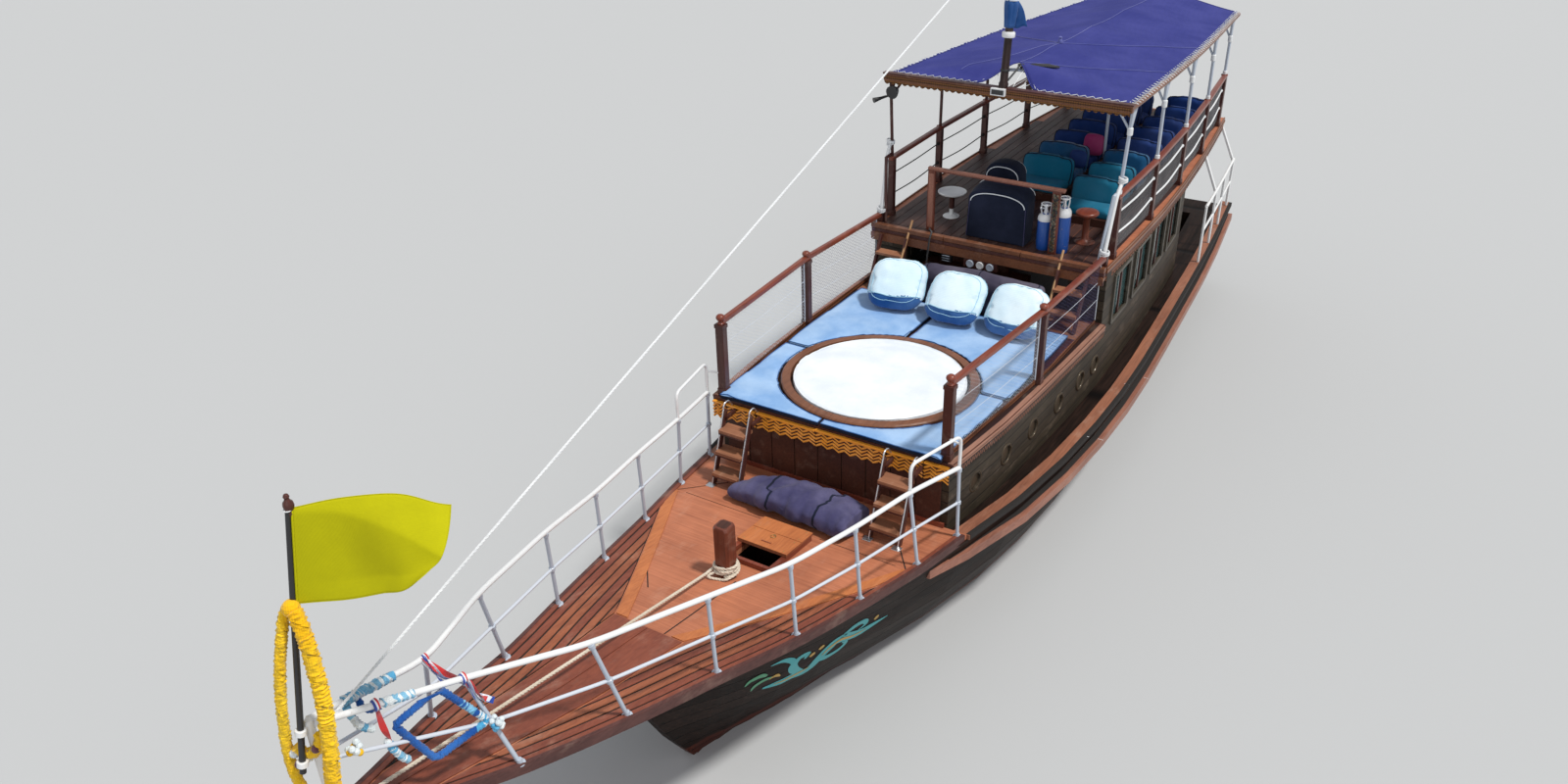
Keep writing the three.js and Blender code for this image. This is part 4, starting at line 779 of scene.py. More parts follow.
for x0, y0, x1, y1 in ((4.45, 0.158, BREAK_X, 0.17), (3.28, -1.3, 3.28, -0.32), (3.28, 0.42, 3.28, 1.3),
                       (3.28, -1.42, 2.75, -0.98), (3.28, 1.42, 2.9, 1.15), (4.5, -0.9, 5.05, -0.45)):
    span = [(x0 + (x1 - x0) * t, y0 + (y1 - y0) * t) for t in between(0, 1, 6)]
    seams.strip([(x, y + 0.006, deck_z(x) + 0.001) for x, y in span],
                [(x + 0.004, y - 0.006, deck_z(x) + 0.001) for x, y in span], 0.0025)
planks.make("foredeck_planks", DECK, DECK_RED, DECK_RED, DECK_PALE, EDGE, sharp=30, bevel=0.002)
seams.make("foredeck_seams", PITCH_AND_PAINTED_SHADE)

# Samson post: eight-sided timber with a dark top

samson_low, samson_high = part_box("samson_post")
post_x = (samson_low.x + samson_high.x) / 2
rings = []
for half, cut, z in ((0.086, 0.026, samson_low.z), (0.088, 0.026, 1.95), (0.088, 0.026, 2.285),
                     (0.08, 0.03, 2.312), (0.06, 0.02, 2.318)):
    ring = [(half, half - cut), (half - cut, half)]
    ring += [(-y, x) for x, y in ring]
    ring += [(-x, -y) for x, y in ring]
    rings.append([(post_x + x, y, z) for x, y in ring])
post = Shape().loft(rings, [0] * 33 + [1])
post.make("samson_timber", POST, DARK, sharp=25, bevel=0.003, replaces=["samson_post"])

# Anchor warp: round turns and a hitch on the post, then straight to the bow

warp = Shape()
warp_at = Vector((post_x, 0, deck_z(post_x) + 0.045))
coil = []
for i in range(64):
    angle = 2 * pi * i / 18 + 0.4
    reach = 0.108 + 0.01 * sin(i * 0.9)
    coil.append(warp_at + Vector((reach * cos(angle), reach * sin(angle), 0.0016 * i)))
rope(warp, spline(coil, 2), 0.016)
rope(warp, [warp_at + Vector((0.03, -0.105, 0.03)), warp_at + Vector((0.2, -0.103, 0.045)),
            (8.86, -0.02, deck_z(8.86) + 0.06)], 0.016)
HITCH = [(0.1, -0.06, 0.02), (0.19, -0.09, 0.01), (0.15, 0.02, -0.01), (0.12, 0.09, 0), (-0.02, 0.13, 0.02),
         (-0.13, 0.03, 0.05), (-0.06, -0.12, 0.09)]
rope(warp, spline([warp_at + Vector(p) for p in HITCH], 6), 0.014)
warp.make("anchor_warp_strands", ROPE, sharp=60, replaces=["anchor_warp"])

# Hatch lid: two boards with a joint between them, screws and a ring pull

lid = Shape()
LID_TURN = Matrix.Rotation(-atan(0.1155), 3, "Y")
LID_AT = Vector((3.355, 0.08, deck_z(3.355) + 0.06))


def on_lid(x, y, z):
    return LID_AT + LID_TURN @ Vector((x, y, z))


for low, high in ((-0.004, 0.225), (0.232, 0.52)):
    lid.strip(*[[on_lid(x, y, 0.034) for x in (low, high)] for y in (-0.297, 0.297)], 0.008)
for y in (-0.24, 0.24):
    for x in (0.03, 0.19, 0.27, 0.48):
        lid.turned([(0.008, 0.0), (0.008, 0.0025), (0.0, 0.0028)], on_lid(x, y, 0.041), 8, kind=1)
lid.tube([on_lid(0.3 + 0.028 * cos(a), 0.028 * sin(a), 0.046) for a in between(0, 6.28, 18)][:-1],
         0.004, 6, closed=True, kind=1)
lid.turned([(0.016, 0.0), (0.014, 0.004), (0.0, 0.005)], on_lid(0.27, 0, 0.041), 10, kind=1)
lid.make("hatch_boards", DECK_PALE, BRONZE, body="hatch_lid", bevel=0.002)

# Cabin front: upright panels, and the carved golden band above them

front = Shape()
for i in range(9):
    y = -1.36 + i * 0.302
    front.box((2.331, y, 1.52), (2.345, y + 0.292, 2.19))
front.box((2.331, -1.4, 1.5), (2.36, 1.4, 1.56), kind=1)
front.make("cabin_front_panels", DARK, RAIL, bevel=0.003)

GOLD_X = 2.458
GOLD_PANELS = [(-1.475, -1.3), (-1.285, -0.905), (-0.885, -0.125), (-0.115, 0.735), (0.75, 1.175),
               (1.19, 1.47)]


def fascia_top(y):
    return 2.312 + 0.01 * y


band = Shape()
for start, end in GOLD_PANELS:
    marks = between(start, end, max(2, round((end - start) / 0.145)) * 8)
    peaks = [0.021 * (1 - abs((i % 8) - 4) / 2) for i in range(len(marks))]
    low = [(GOLD_X - 0.036, y, fascia_top(y) - 0.19 + p) for y, p in zip(marks, peaks)]
    band.strip([(GOLD_X - 0.036, y, fascia_top(y)) for y in marks], low, 0.018, kind=1, rise=(1, 0, 0))
    for row in range(4):
        line = [(GOLD_X - 0.014, y, fascia_top(y) - 0.04 - row * 0.043 + p) for y, p in zip(marks, peaks)]
        band.tube(line, [0.0115 + 0.003 * sin(i * 0.785 + row * 2) for i in range(len(line))], 6)
    band.box((GOLD_X - 0.034, start, fascia_top(start) - 0.006),
             (GOLD_X + 0.004, end, fascia_top(end) + 0.01))
band.make("golden_band", GOLD, GOLD_DARK, replaces=["gold_fascia"], sharp=50)

# Sun mattress: four boxed pads round the bed ring, light blue above and navy at the sides

RING_X = 1.185
RING_GAP = 1.163
PAD_THICK = 0.085
PAD_FORE, PAD_AFT = 2.465, -1.03
PADS = {
    "fore_starboard": (0.93, PAD_FORE, -1, 0.085), "fore_port": (0.93, PAD_FORE, 1, -0.07),
    "aft_starboard": (PAD_AFT, 0.915, -1, 0.245), "aft_port": (PAD_AFT, 0.915, 1, -0.235),
}


def mattress_side(x):
    return 1.475 - 0.09 * max(0.0, (x - PAD_AFT) / (PAD_FORE - PAD_AFT) - 0.45) / 0.55


def pad_outline(x0, x1, sign, inner):
    """Corners of a pad seen from above, with the arc of the ring taken out of it."""
    near, far = sorted([x0, x1], key=lambda x: abs(x - RING_X))
    arc = [(RING_X + RING_GAP * cos(a), RING_GAP * sin(a)) for a in between(0, pi, 90)]
    arc = sorted([(x, y) for x, y in arc if x0 < x < x1 and y > inner], key=lambda p: abs(p[0] - near))
    reach = sqrt(max(0.0, RING_GAP ** 2 - (near - RING_X) ** 2))
    start = RING_X + copysign(sqrt(max(0.0, RING_GAP ** 2 - inner ** 2)), far - RING_X)
    points = [(near, reach), *arc, (start, inner), (far, inner)]
    points += [(x, mattress_side(x)) for x in between(far, near, 12)]
    return [(x, sign * y) for x, y in points]


pads = []
for name, pad in PADS.items():
    flat = [(x, y, sun_z(x) + 0.014) for x, y in pad_outline(*pad)]
    slab = Shape().prism(flat, (0, 0, PAD_THICK - 0.02))
    pads.append(slab.make("mattress_" + name, LIGHT_BLUE, NAVY, loose=True))

# Round cushion inside the ring

disc = [(RING_X + 1.024 * cos(a), 1.024 * sin(a), sun_z(RING_X + 1.024 * cos(a)) + 0.016) for a in turns(96)]
round_pad = Shape().prism(disc, (0, 0, 0.085)).make("round_pad", WHITE_CLOTH, loose=True)

# Three big pillows, white above and blue beneath, leaning back on the bolster

PILLOW_ROWS = [(-0.735, -0.77, 0.2), (-0.715, 0.06, 0.03), (-0.725, 0.87, -0.03)]
PILLOW_FRAMES = [(Vector((x, y, 2.64)), Matrix.Rotation(twist, 3,
                                                        "Z") @ Matrix.Rotation(radians(43), 3, "Y"))
                 for x, y, twist in PILLOW_ROWS]
PILLOW_STEPS = (1.0, 0.93, 0.8, 0.6, 0.35, 0.1)
HEM = 0.205                      # where the white cover ends, down the slope from the middle


def pillow_rim(angle, share=1.0):
    """A point on the sewn rim, a rounded square whose sides pull in between the corners."""
    u, v = signed(cos(angle), 0.5), signed(sin(angle), 0.5)
    return Vector(((0.385 - 0.03 * u * u) * v * share, (0.405 - 0.02 * v * v) * u * share, 0.0))


pillows = []
for number, (at, turn) in enumerate(PILLOW_FRAMES, 1):
    rings = []
    for share, way in [(s, -1) for s in reversed(PILLOW_STEPS)] + [(s, 1) for s in PILLOW_STEPS]:
        rise = (1 - share ** 3.2) ** 0.62
        height = way * rise * (0.115 if way * rise > 0 else 0.12) + copysign(0.006, way * rise)
        rings.append([at + turn @ (pillow_rim(a, share) + Vector((0, 0, height))) for a in turns(40)])
    pillows.append(Shape().loft(rings).make(f"pillow_{number}_body", COVER, CUSHION_BLUE, loose=True))

# Bolster behind the pillows

ROLL_X, ROLL_Y, ROLL_HALF = -1.265, 0.17, 0.845
ROLL_SECTION = [(-0.13, 0.0), (-0.15, 0.13), (-0.145, 0.42), (-0.09, 0.555), (0.0, 0.58), (0.085, 0.54),
                (0.14, 0.38), (0.13, 0.0)]
rings = []
for share in between(-1, 1, 14):
    squeeze = 1 - 0.1 * abs(share) ** 6
    y = ROLL_Y + ROLL_HALF * share
    rings.append([(ROLL_X + u * squeeze, y, sun_z(ROLL_X) + 0.012 + v * squeeze
                   * (1 + 0.03 * sin(y * 5 + 1)))
                  for u, v in ROLL_SECTION])
roll = Shape().loft(rings).make("bolster_roll", ROLL_GREY, loose=True)

# Folded canvas on the foredeck, tied with a strap

BUNDLE_SPINE = [(3.05, -0.84), (2.985, -0.62), (2.945, -0.34), (2.925, 0.0), (2.935, 0.34), (2.965, 0.71)]
BUNDLE_SIZE = [(0.085, 0.12), (0.21, 0.25), (0.29, 0.29), (0.325, 0.3), (0.325, 0.29), (0.295, 0.24)]
spine = spline([(x, y, 0) for x, y in BUNDLE_SPINE], 5)
rings = []
for i, point in enumerate(spine):
    place = i / (len(spine) - 1) * (len(BUNDLE_SIZE) - 1)
    k = min(int(place), len(BUNDLE_SIZE) - 2)
    wide, high = [a + (b - a) * (place - k) for a, b in zip(BUNDLE_SIZE[k], BUNDLE_SIZE[k + 1])]
    ring = []
    for a in turns(28):
        x = point.x + wide * signed(cos(a), 0.8)
        ring.append((x, point.y, deck_z(x) + 0.016 + high * (0.5 + 0.5 * signed(sin(a), 0.7)) * 0.95))
    rings.append(ring)
bundle = Shape().loft(rings).make("canvas_bag", SLATE, loose=True)

# Lounge cushions of the upper deck: one back and one seat, repeated

LOUNGE_PITCH = 0.62
LOUNGE_COLUMNS = {"port": (0.85, 0.365, -3.36, 8), "starboard": (-0.075, 0.41, -3.95, 7)}
LOUNGE_LOOKS = [TEAL, TEAL, SEA_BLUE] + [INDIGO] * 5
LOUNGE_TURN = Matrix.Rotation(-0.22, 3, "Y")
BACK_WIDE, BACK_HIGH, BACK_ARCH = 0.37, 0.19, 0.055
back_outline = [(-BACK_WIDE * 0.96, -BACK_HIGH), (BACK_WIDE * 0.96, -BACK_HIGH),
                (BACK_WIDE, -BACK_HIGH * 0.4), (BACK_WIDE, BACK_HIGH * 0.45)]
back_outline += [(BACK_WIDE * signed(cos(a), 0.55), BACK_HIGH * 0.5 + (BACK_HIGH * 0.5 + BACK_ARCH)
                  * sin(a) ** 0.9)
                 for a in between(0.12, 3.02, 22)]
back_outline += [(-BACK_WIDE, BACK_HIGH * 0.45), (-BACK_WIDE, -BACK_HIGH * 0.4)]
lounge_back = Shape().prism([(-0.075, u, v) for u, v in back_outline], (0.15, 0, 0))
lounge_back = lounge_back.make("lounge_back", TEAL, loose=True)
lounge_seat = Shape().box((-0.185, -0.375, 0.0), (0.185, 0.375, 0.1)).make("lounge_seat", TEAL, loose=True)


def over_sun_deck(gap):
    return lambda x: sun_z(x) + gap


swell(*[(piece, 0.034, 0.012, over_sun_deck(0.003)) for piece in pads],
      (round_pad, 0.036, 0.018, over_sun_deck(0.003)),
      *[(piece, 0.026, 0.03, over_sun_deck(PAD_THICK + 0.006)) for piece in pillows],
      (roll, 0.03, 0.028, over_sun_deck(0.003)), (bundle, 0.024, 0.016, lambda x: deck_z(x) + 0.014),
      (lounge_back, 0.034, 0.036, None), (lounge_seat, 0.034, 0.022, None))

trim = Shape()
for number, (piece, pad) in enumerate(zip(pads, PADS.values())):
    finish_soft(piece, lambda c, n: 1 if n.z < 0.45 else 0, replaces=[]
                if number else ["sun_mattress"])
    edge = [(x, y, sun_z(x) + PAD_THICK + 0.012) for x, y in pad_outline(*pad)]
    trim.tube(snapped(piece, dense(edge, 0.06), 0.001), 0.0055, 6, closed=True)
finish_soft(round_pad, replaces=["round_cushion"])
trim.make("mattress_piping", CUSHION_BLUE)

rim = circle((RING_X, 0, sun_z(RING_X) + 0.12), (1, 0, 0), (0, 1, 0), 120)
Shape().tube(snapped(round_pad, rim, 0.001), 0.007, 6, closed=True).make("round_pad_piping", WHITE_PIPING)

edges = Shape()
for number, (piece, (at, turn)) in enumerate(zip(pillows, PILLOW_FRAMES), 1):
    normal = turn @ Vector((0, 0, 1))
    fore = turn @ Vector((1, 0, 0))
    wrinkle(piece, 7.0, 0.01, seed=number * 3.1)

    def cover(centre, _, at=at, normal=normal, fore=fore):
        """White on top as far as the hem, which hangs in a shallow scallop."""
        place = centre - at
        hem = HEM + 0.02 * cos(place.y * 8) if place.dot(normal) > -0.01 else -0.2
        return 0 if place.dot(fore) < hem and place.dot(normal) > -0.05 else 1
    finish_soft(piece, cover, replaces=[f"pillow_{number}"])
    hem = []
    for place in [pillow_rim(a, 1.05) for a in turns(110)]:
        limit = HEM + 0.02 * cos(place.y * 8)
        hem.append(at + turn @ Vector((min(place.x, limit), place.y, 0.11 if place.x > limit else -0.03)))
    edges.tube(snapped(piece, hem, 0.002), 0.006, 6, closed=True)
    crown = [at + turn @ (pillow_rim(a, 0.86) + Vector((-0.02, 0, 0.12))) for a in turns(90)]
    edges.tube(snapped(piece, crown, 0.0015), 0.0045, 6, closed=True)
edges.make("pillow_piping", PIPING)

wrinkle(roll, 5.0, 0.014, seed=2.0)
finish_soft(roll, replaces=["bolster"])
roll_trim = Shape()
for y in (-0.62, 0.17, 0.96):
    line = [(ROLL_X + 0.34 * cos(a), y, 2.3 + 0.66 * sin(a)) for a in between(0.15, 3.0, 24)]
    roll_trim.tube(snapped(roll, line, 0.001), 0.006, 6)
roll_trim.make("bolster_piping", NAVY)

wrinkle(bundle, 3.2, 0.05, seed=5.0, stretch=(1.0, 1.6, 1.0))
wrinkle(bundle, 9.0, 0.016, seed=9.0, stretch=(0.6, 1.6, 1.0))
for vertex in bundle.data.vertices:
    vertex.co.z = max(vertex.co.z, deck_z(vertex.co.x) + 0.014)
finish_soft(bundle, replaces=["canvas_bundle"])
strap = Shape()
for y, drift in ((-0.36, 0.1), (0.36, -0.05)):
    line = [(2.93 + 0.42 * cos(a), y + drift * cos(a), 1.58 + 0.42 * sin(a)) for a in between(0.0, pi, 30)]
    line = snapped(bundle, line, 0.002)
    strap.strip(*[[p + Vector((0, across, 0)) for p in line] for across in (-0.013, 0.013)], 0.003)
strap.make("canvas_straps", NAVY)

# Lounges: teal in front, indigo behind, with navy piping, on dark bases

finish_soft(lounge_back)
finish_soft(lounge_seat)
back_piping = []
for offset in (0.062, -0.055):
    line = [(offset * 1.4, u * 1.04, v * 1.04) for u, v in back_outline]
    back_piping.append(snapped(lounge_back, dense(line, 0.05), 0.001))
bases = Shape()
seats = []
for word, (centre, half, front, count) in LOUNGE_COLUMNS.items():
    piping = Shape()
    narrow = half / 0.39
    for i in range(count):
        x = front - i * LOUNGE_PITCH
        back_at = Vector((x - 0.13, centre, UPPER_TOP + 0.285))
        seat_at = Vector((x + 0.2, centre, UPPER_TOP + 0.125))
        for kind, source, at, turn, fill in (("back", lounge_back, back_at, LOUNGE_TURN, 0.9),
                                             ("seat", lounge_seat, seat_at, Matrix.Identity(3), 0.8)):
            piece = source
            if word == "starboard" or i:
                piece = link(f"lounge_{kind}_{word}_{i + 1}", source.data.copy())
                smoothed(piece)
            seats.append((piece, at, turn, narrow, fill))
            piece.data.materials.clear()
            piece.data.materials.append(LOUNGE_LOOKS[i + (word == "starboard")])
        for line in back_piping:
            piping.tube([back_at + LOUNGE_TURN @ Vector((p.x, p.y * narrow, p.z)) for p in line], 0.007, 6,
                        closed=True)
    piping.make(f"lounge_piping_{word}", NAVY)
    back_x = front - (count - 1) * LOUNGE_PITCH - 0.28
    bases.box((back_x, centre - half + 0.02, UPPER_TOP + 0.004), (front + 0.4, centre + half - 0.02,
                                                                  UPPER_TOP + 0.118))
for piece, at, turn, narrow, fill in seats:
    for vertex in piece.data.vertices:
        vertex.co = at + turn @ Vector((vertex.co.x, vertex.co.y * narrow, vertex.co.z))
    if piece not in (lounge_back, lounge_seat):
        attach(piece, "boat")
bases.make("lounge_bases", DARK, bevel=0.006, replaces=["lounge_port", "lounge_starboard"])

# Pulpit: white top rail, paler mid rail, weathered grey stanchions, gate loop and foot plates

PULPIT = [(2.42, 1.59, 2.42, 1.57, 2.37), (3.14, 1.48, 3.2, 1.4, 2.47), (4.01, 1.3, 4.07, 1.27, 2.55),
          (4.89, 1.12, 4.93, 1.1, 2.64), (5.81, 0.89, 5.85, 0.88, 2.84), (6.72, 0.66, 6.94, 0.58, 3.04),
          (7.7, 0.46, 7.83, 0.19, 3.225)]
TIP, MID_TIP = Vector((8.88, 0.034, 3.62)), Vector((8.88, 0.034, 3.3))


def rounded(points, radius, steps=6):
    """A path whose inner corners are rounded off."""
    points = [Vector(p) for p in points]
    path = [points[0]]
    for before, corner, after in zip(points, points[1:], points[2:]):
        back, on = (before - corner), (after - corner)
        reach = min(radius, back.length * 0.45, on.length * 0.45)
        start, end = corner + back.normalized() * reach, corner + on.normalized() * reach
        path += [start.lerp(corner, t).lerp(corner.lerp(end, t), t) for t in between(0, 1, steps)]
    return path + [points[-1]]


def hanging(shape, line, depth, pitch, kind=0, out=(0, 1, 0)):
    """A fringe of carved scallops hanging from a line."""
    line = [Vector(p) for p in line]
    top, low = [], []
    travel = 0.0
    for a, b in zip(line, line[1:]):
        pieces = max(1, round((b - a).length / (pitch / 4)))
        for k in range(pieces):
            top.append(a.lerp(b, k / pieces))
            low.append(top[-1] - Vector((0, 0, depth * (0.45 + 0.55 * sin(pi * ((travel / pitch) % 1.0))))))
            travel += (b - a).length / pieces
    shape.strip(low, top, 0.01, kind=kind, rise=out)


tops = [Vector((tx, ty, tz)) for x, y, tx, ty, tz in PULPIT]
foot_points = [Vector((x, y, deck_z(x) + 0.003)) for x, y, tx, ty, tz in PULPIT]
mids = [(a + b) / 2 for a, b in zip(tops, foot_points)]
gate = [tops[0], tops[0] + Vector((-0.005, 0, 0.38)), tops[1] + Vector((0.005, 0, 0.32)), tops[1]]
for side, word in SIDES:
    mirror = Matrix.Diagonal((1, side, 1))
    rail = Shape()
    for line, radius, sides, kind in ((rounded([*tops, TIP], 0.22), 0.024, 12, 0),
                                      (rounded(gate, 0.1), 0.018, 10, 0),
                                      (rounded([*mids, MID_TIP], 0.18), 0.0155, 10, 2),
                                      ([(2.41, 1.57, 2.64), (2.37, 1.43, 2.64)], 0.012, 8, 0)):
        rail.tube([mirror @ Vector(p) for p in line], radius, sides, kind=kind)
    for foot, top in zip(foot_points, tops):
        rail.tube([mirror @ foot, mirror @ foot.lerp(top, 0.995)], 0.019, 10, kind=1)
        axis = mirror @ (top - foot).normalized()
        rail.turned([(0.022, 0.0), (0.03, 0.006), (0.03, 0.038), (0.022, 0.044)],
                    mirror @ foot.lerp(top, 0.475), 10, axis=axis, kind=1)
        rail.turned([(0.02, -0.055), (0.028, -0.05), (0.03, -0.012)], mirror @ top, 10, axis=axis, kind=1)
        rail.turned([(0.046, 0.0), (0.046, 0.007), (0.026, 0.012), (0.022, 0.045)], mirror @ foot, 12,
                    kind=1)
        for angle in (0.8, 2.4, 4.0, 5.5):
            spot = foot + Vector((0.036 * cos(angle), 0.036 * sin(angle), 0.006))
            rail.turned([(0.006, 0.0), (0.006, 0.004), (0.0, 0.005)], mirror @ spot, 6, kind=1)
    rail.make(f"pulpit_{word}_pipes", WHITE, GREY_PIPE, PALE_PIPE, replaces=[f"pulpit_{word}"])

# Sun deck rails: square posts with turned balls, handrail, fine slanting net and carved edge

SUN_POSTS = [(2.335, 1.39, 3.3), (0.24, 1.55, 3.24)]
SUN_END = (-1.77, 1.575, 3.13)
SUN_BAYS = [(2.28, 0.3, 1.39, 1.545), (0.18, -1.66, 1.55, 1.575)]
POST_BALL = [(0.03, -0.055), (0.046, -0.045), (0.03, -0.03), (0.024, -0.018), (0.042, 0.0), (0.052, 0.02),
             (0.048, 0.042), (0.03, 0.058), (0.0, 0.063)]


def netting(shape, low_start, low_end, high_start, high_end, pitch, radius, slope=0.55, kind=0):
    """Crossed cords filling a bay between a low line and a high line."""
    a, b, c, d = [Vector(p) for p in (low_start, low_end, high_start, high_end)]
    length = (b - a).length
    height = ((c - a).length + (d - b).length) / 2
    reach = height / slope
    for way in (slope, -slope):
        for i in range(int((length + reach) / pitch)):
            s0 = i * pitch - (reach if way > 0 else 0)
            s1 = s0 + height / way
            spots = []
            for s, t in ((s0, 0.0), (s1, 1.0)):
                limit = min(max(s, 0.0), length)
                spots.append((limit, (limit - s0) / (s1 - s0)))
            if abs(spots[1][0] - spots[0][0]) < 0.02 or not all(-0.01 <= t <= 1.01 for s, t in spots):
                continue
            shape.tube([a.lerp(b, s / length).lerp(c.lerp(d, s / length), t) for s, t in spots], radius, 3,
                       kind=kind)


def block(shape, x, y, low, high, half_x, half_y, kind=0):
    shape.box((x - half_x, y - half_y, low), (x + half_x, y + half_y, high), kind=kind)


def edge_lines(stations, side, edge, height, near, far):
    """Two lines along a deck's edge, at two distances outside it."""
    return [[(x, side * (edge(x) + out), height(x)) for x in stations] for out in (near, far)]


for side, word in SIDES:
    rail, net, trim = Shape(), Shape(), Shape()
    ends = [Vector((x, side * y, z)) for x, y, z in (*SUN_POSTS, SUN_END)]
    for x, y, top in SUN_POSTS:
        low = sun_z(x - 0.05) + 0.004
        block(rail, x, side * y, low, top - 0.055, 0.044, 0.052)
        block(rail, x, side * y, low, low + 0.09, 0.052, 0.06)
        block(rail, x, side * y, top - 0.1, top - 0.052, 0.052, 0.06)
        rail.turned(POST_BALL, (x, side * y, top), 16, kind=1)
    x, y, z = SUN_END
    rail.box((x - 0.045, side * y - 0.04, UPPER_TOP + 0.003), (x + 0.03, side * y + 0.04, z + 0.02))
    for a, b in zip(ends, ends[1:]):
        for drop, wide, high in ((-0.032, 0.07, 0.05), (-0.01, 0.05, 0.018)):
            rail.beam(a + Vector((0, 0, drop)), b + Vector((0, 0, drop)), wide, high, kind=1)
    tops_at = smooth_line([(p.x, p.z - 0.06) for p in ends])
    for bay, (x0, x1, y0, y1) in enumerate(SUN_BAYS):
        low0, low1 = (x0, side * y0, sun_z(x0) + 0.075), (x1, side * y1, sun_z(x1) + 0.075)
        high0, high1 = (x0, side * y0, tops_at(x0)), (x1, side * y1, tops_at(x1))
        netting(net, low0, low1, high0, high1, 0.08, 0.0011, kind=2 * bay)
        for share in (0.36, 0.68):
            start, end = [Vector(a).lerp(Vector(b), share) for a, b in ((low0, high0), (low1, high1))]
            net.tube(spline([start, (start + end) / 2 - Vector((0, 0, 0.02)), end], 8), 0.0028, 6, kind=1)
        for line in ((low0, high0), (low1, high1)):
            net.tube(line, 0.006, 6, kind=1)
        trim.strip(*[[(x, side * (y0 + (y1 - y0) * (x0 - x) / (x0 - x1)) + half, sun_z(x) + 0.012)
                      for x in between(x0, x1, 10)] for half in (-0.006, 0.006)], 0.062, kind=1)
    stations = between(2.405, -1.7, 34)
    for drop, near, far, tall, kind in ((-0.028, 0.001, 0.016, 0.026, 0), (-0.066, 0.001, 0.008, 0.022, 0),
                                        (0.002, -0.058, -0.004, 0.014, 0), (0.002, -0.15, -0.062, 0.006, 2)):
        trim.strip(*edge_lines(stations, side, sun_y, lambda x: sun_z(x) + drop, near, far), tall, kind=kind)
    hanging(trim, [(x, side * (sun_y(x) + 0.002), sun_z(x) - 0.066) for x in stations], 0.07, 0.085, kind=2,
            out=(0, side, 0))
    rail.make(f"sun_rail_{word}_timber", RAIL_DARK, RAIL, bevel=0.006, replaces=[f"sun_rail_{word}"])
    net.make(f"sun_net_{word}", NET, PALE_PIPE, SLATE)
    trim.make(f"sun_deck_edge_{word}", PALE_EDGE, CARVED, MAST, bevel=0.002)

# Bow ladders and deck steps: worn treads between thin dark stringers with pale rods


def slope(x0, z0, x1, z1):
    """Place along the boat of a sloping line at a height."""
    return lambda z: x0 + (z - z0) / (z1 - z0) * (x1 - x0)


for side, word in SIDES:
    ladder = Shape()
    foot_z = deck_z(2.93) + 0.004
    slant = slope(2.93, foot_z, 2.64, 2.36)
    for y in (side - 0.17, side + 0.17):
        ladder.beam((2.93, y, foot_z + 0.004), (2.64, y, 2.375), 0.034, 0.062, kind=1)
        ladder.tube([(2.966, y, foot_z + 0.01), (2.676, y, 2.38)], 0.009, 8, kind=2)
        ladder.tube(rounded([(2.676, y, 2.36), (2.66, y, 2.45), (2.58, y, 2.46), (2.5, y, 2.36)], 0.03),
                    0.01, 8, kind=2)
        ladder.beam((2.46, y, 2.262), (slant(2.262), y, 2.262), 0.034, 0.045, kind=1)
        ladder.box((2.955, y - 0.05, foot_z), (3.035, y + 0.05, foot_z + 0.012), kind=2)
    for z in (1.7, 1.935, 2.17):
        x = slant(z)
        block(ladder, x, side, z - 0.018, z + 0.02, 0.095, 0.166)
        ladder.box((x + 0.074, side - 0.166, z - 0.04), (x + 0.092, side + 0.166, z - 0.018), kind=1)
    ladder.make(f"bow_ladder_{word}_timber", TREAD, RAIL_DARK, CHROME, bevel=0.004,
                replaces=[f"bow_ladder_{word}"])

    steps = Shape()
    foot_z = sun_z(-1.23) + 0.004
    climb = slope(-1.23, foot_z, -1.56, 2.86)
    for s in (-1, 1):
        y = side * 1.26 + s * 0.19
        steps.beam((-1.23, y, foot_z), (climb(2.9), y, 2.9), 0.034, 0.07, kind=1)
        if s != side:
            steps.tube([(climb(2.5) + 0.06, y, 2.5), (climb(3.12) - 0.02, y - side * 0.01, 3.12)], 0.017, 8,
                       kind=2)
    for z in (2.44, 2.69):
        block(steps, climb(z), side * 1.26, z - 0.018, z + 0.02, 0.075, 0.186)
    steps.make(f"deck_steps_{word}_timber", TREAD, RAIL_DARK, POLE, bevel=0.004,
               replaces=[f"deck_steps_{word}"])

# Upper deck rails, net, ropes and carved edge

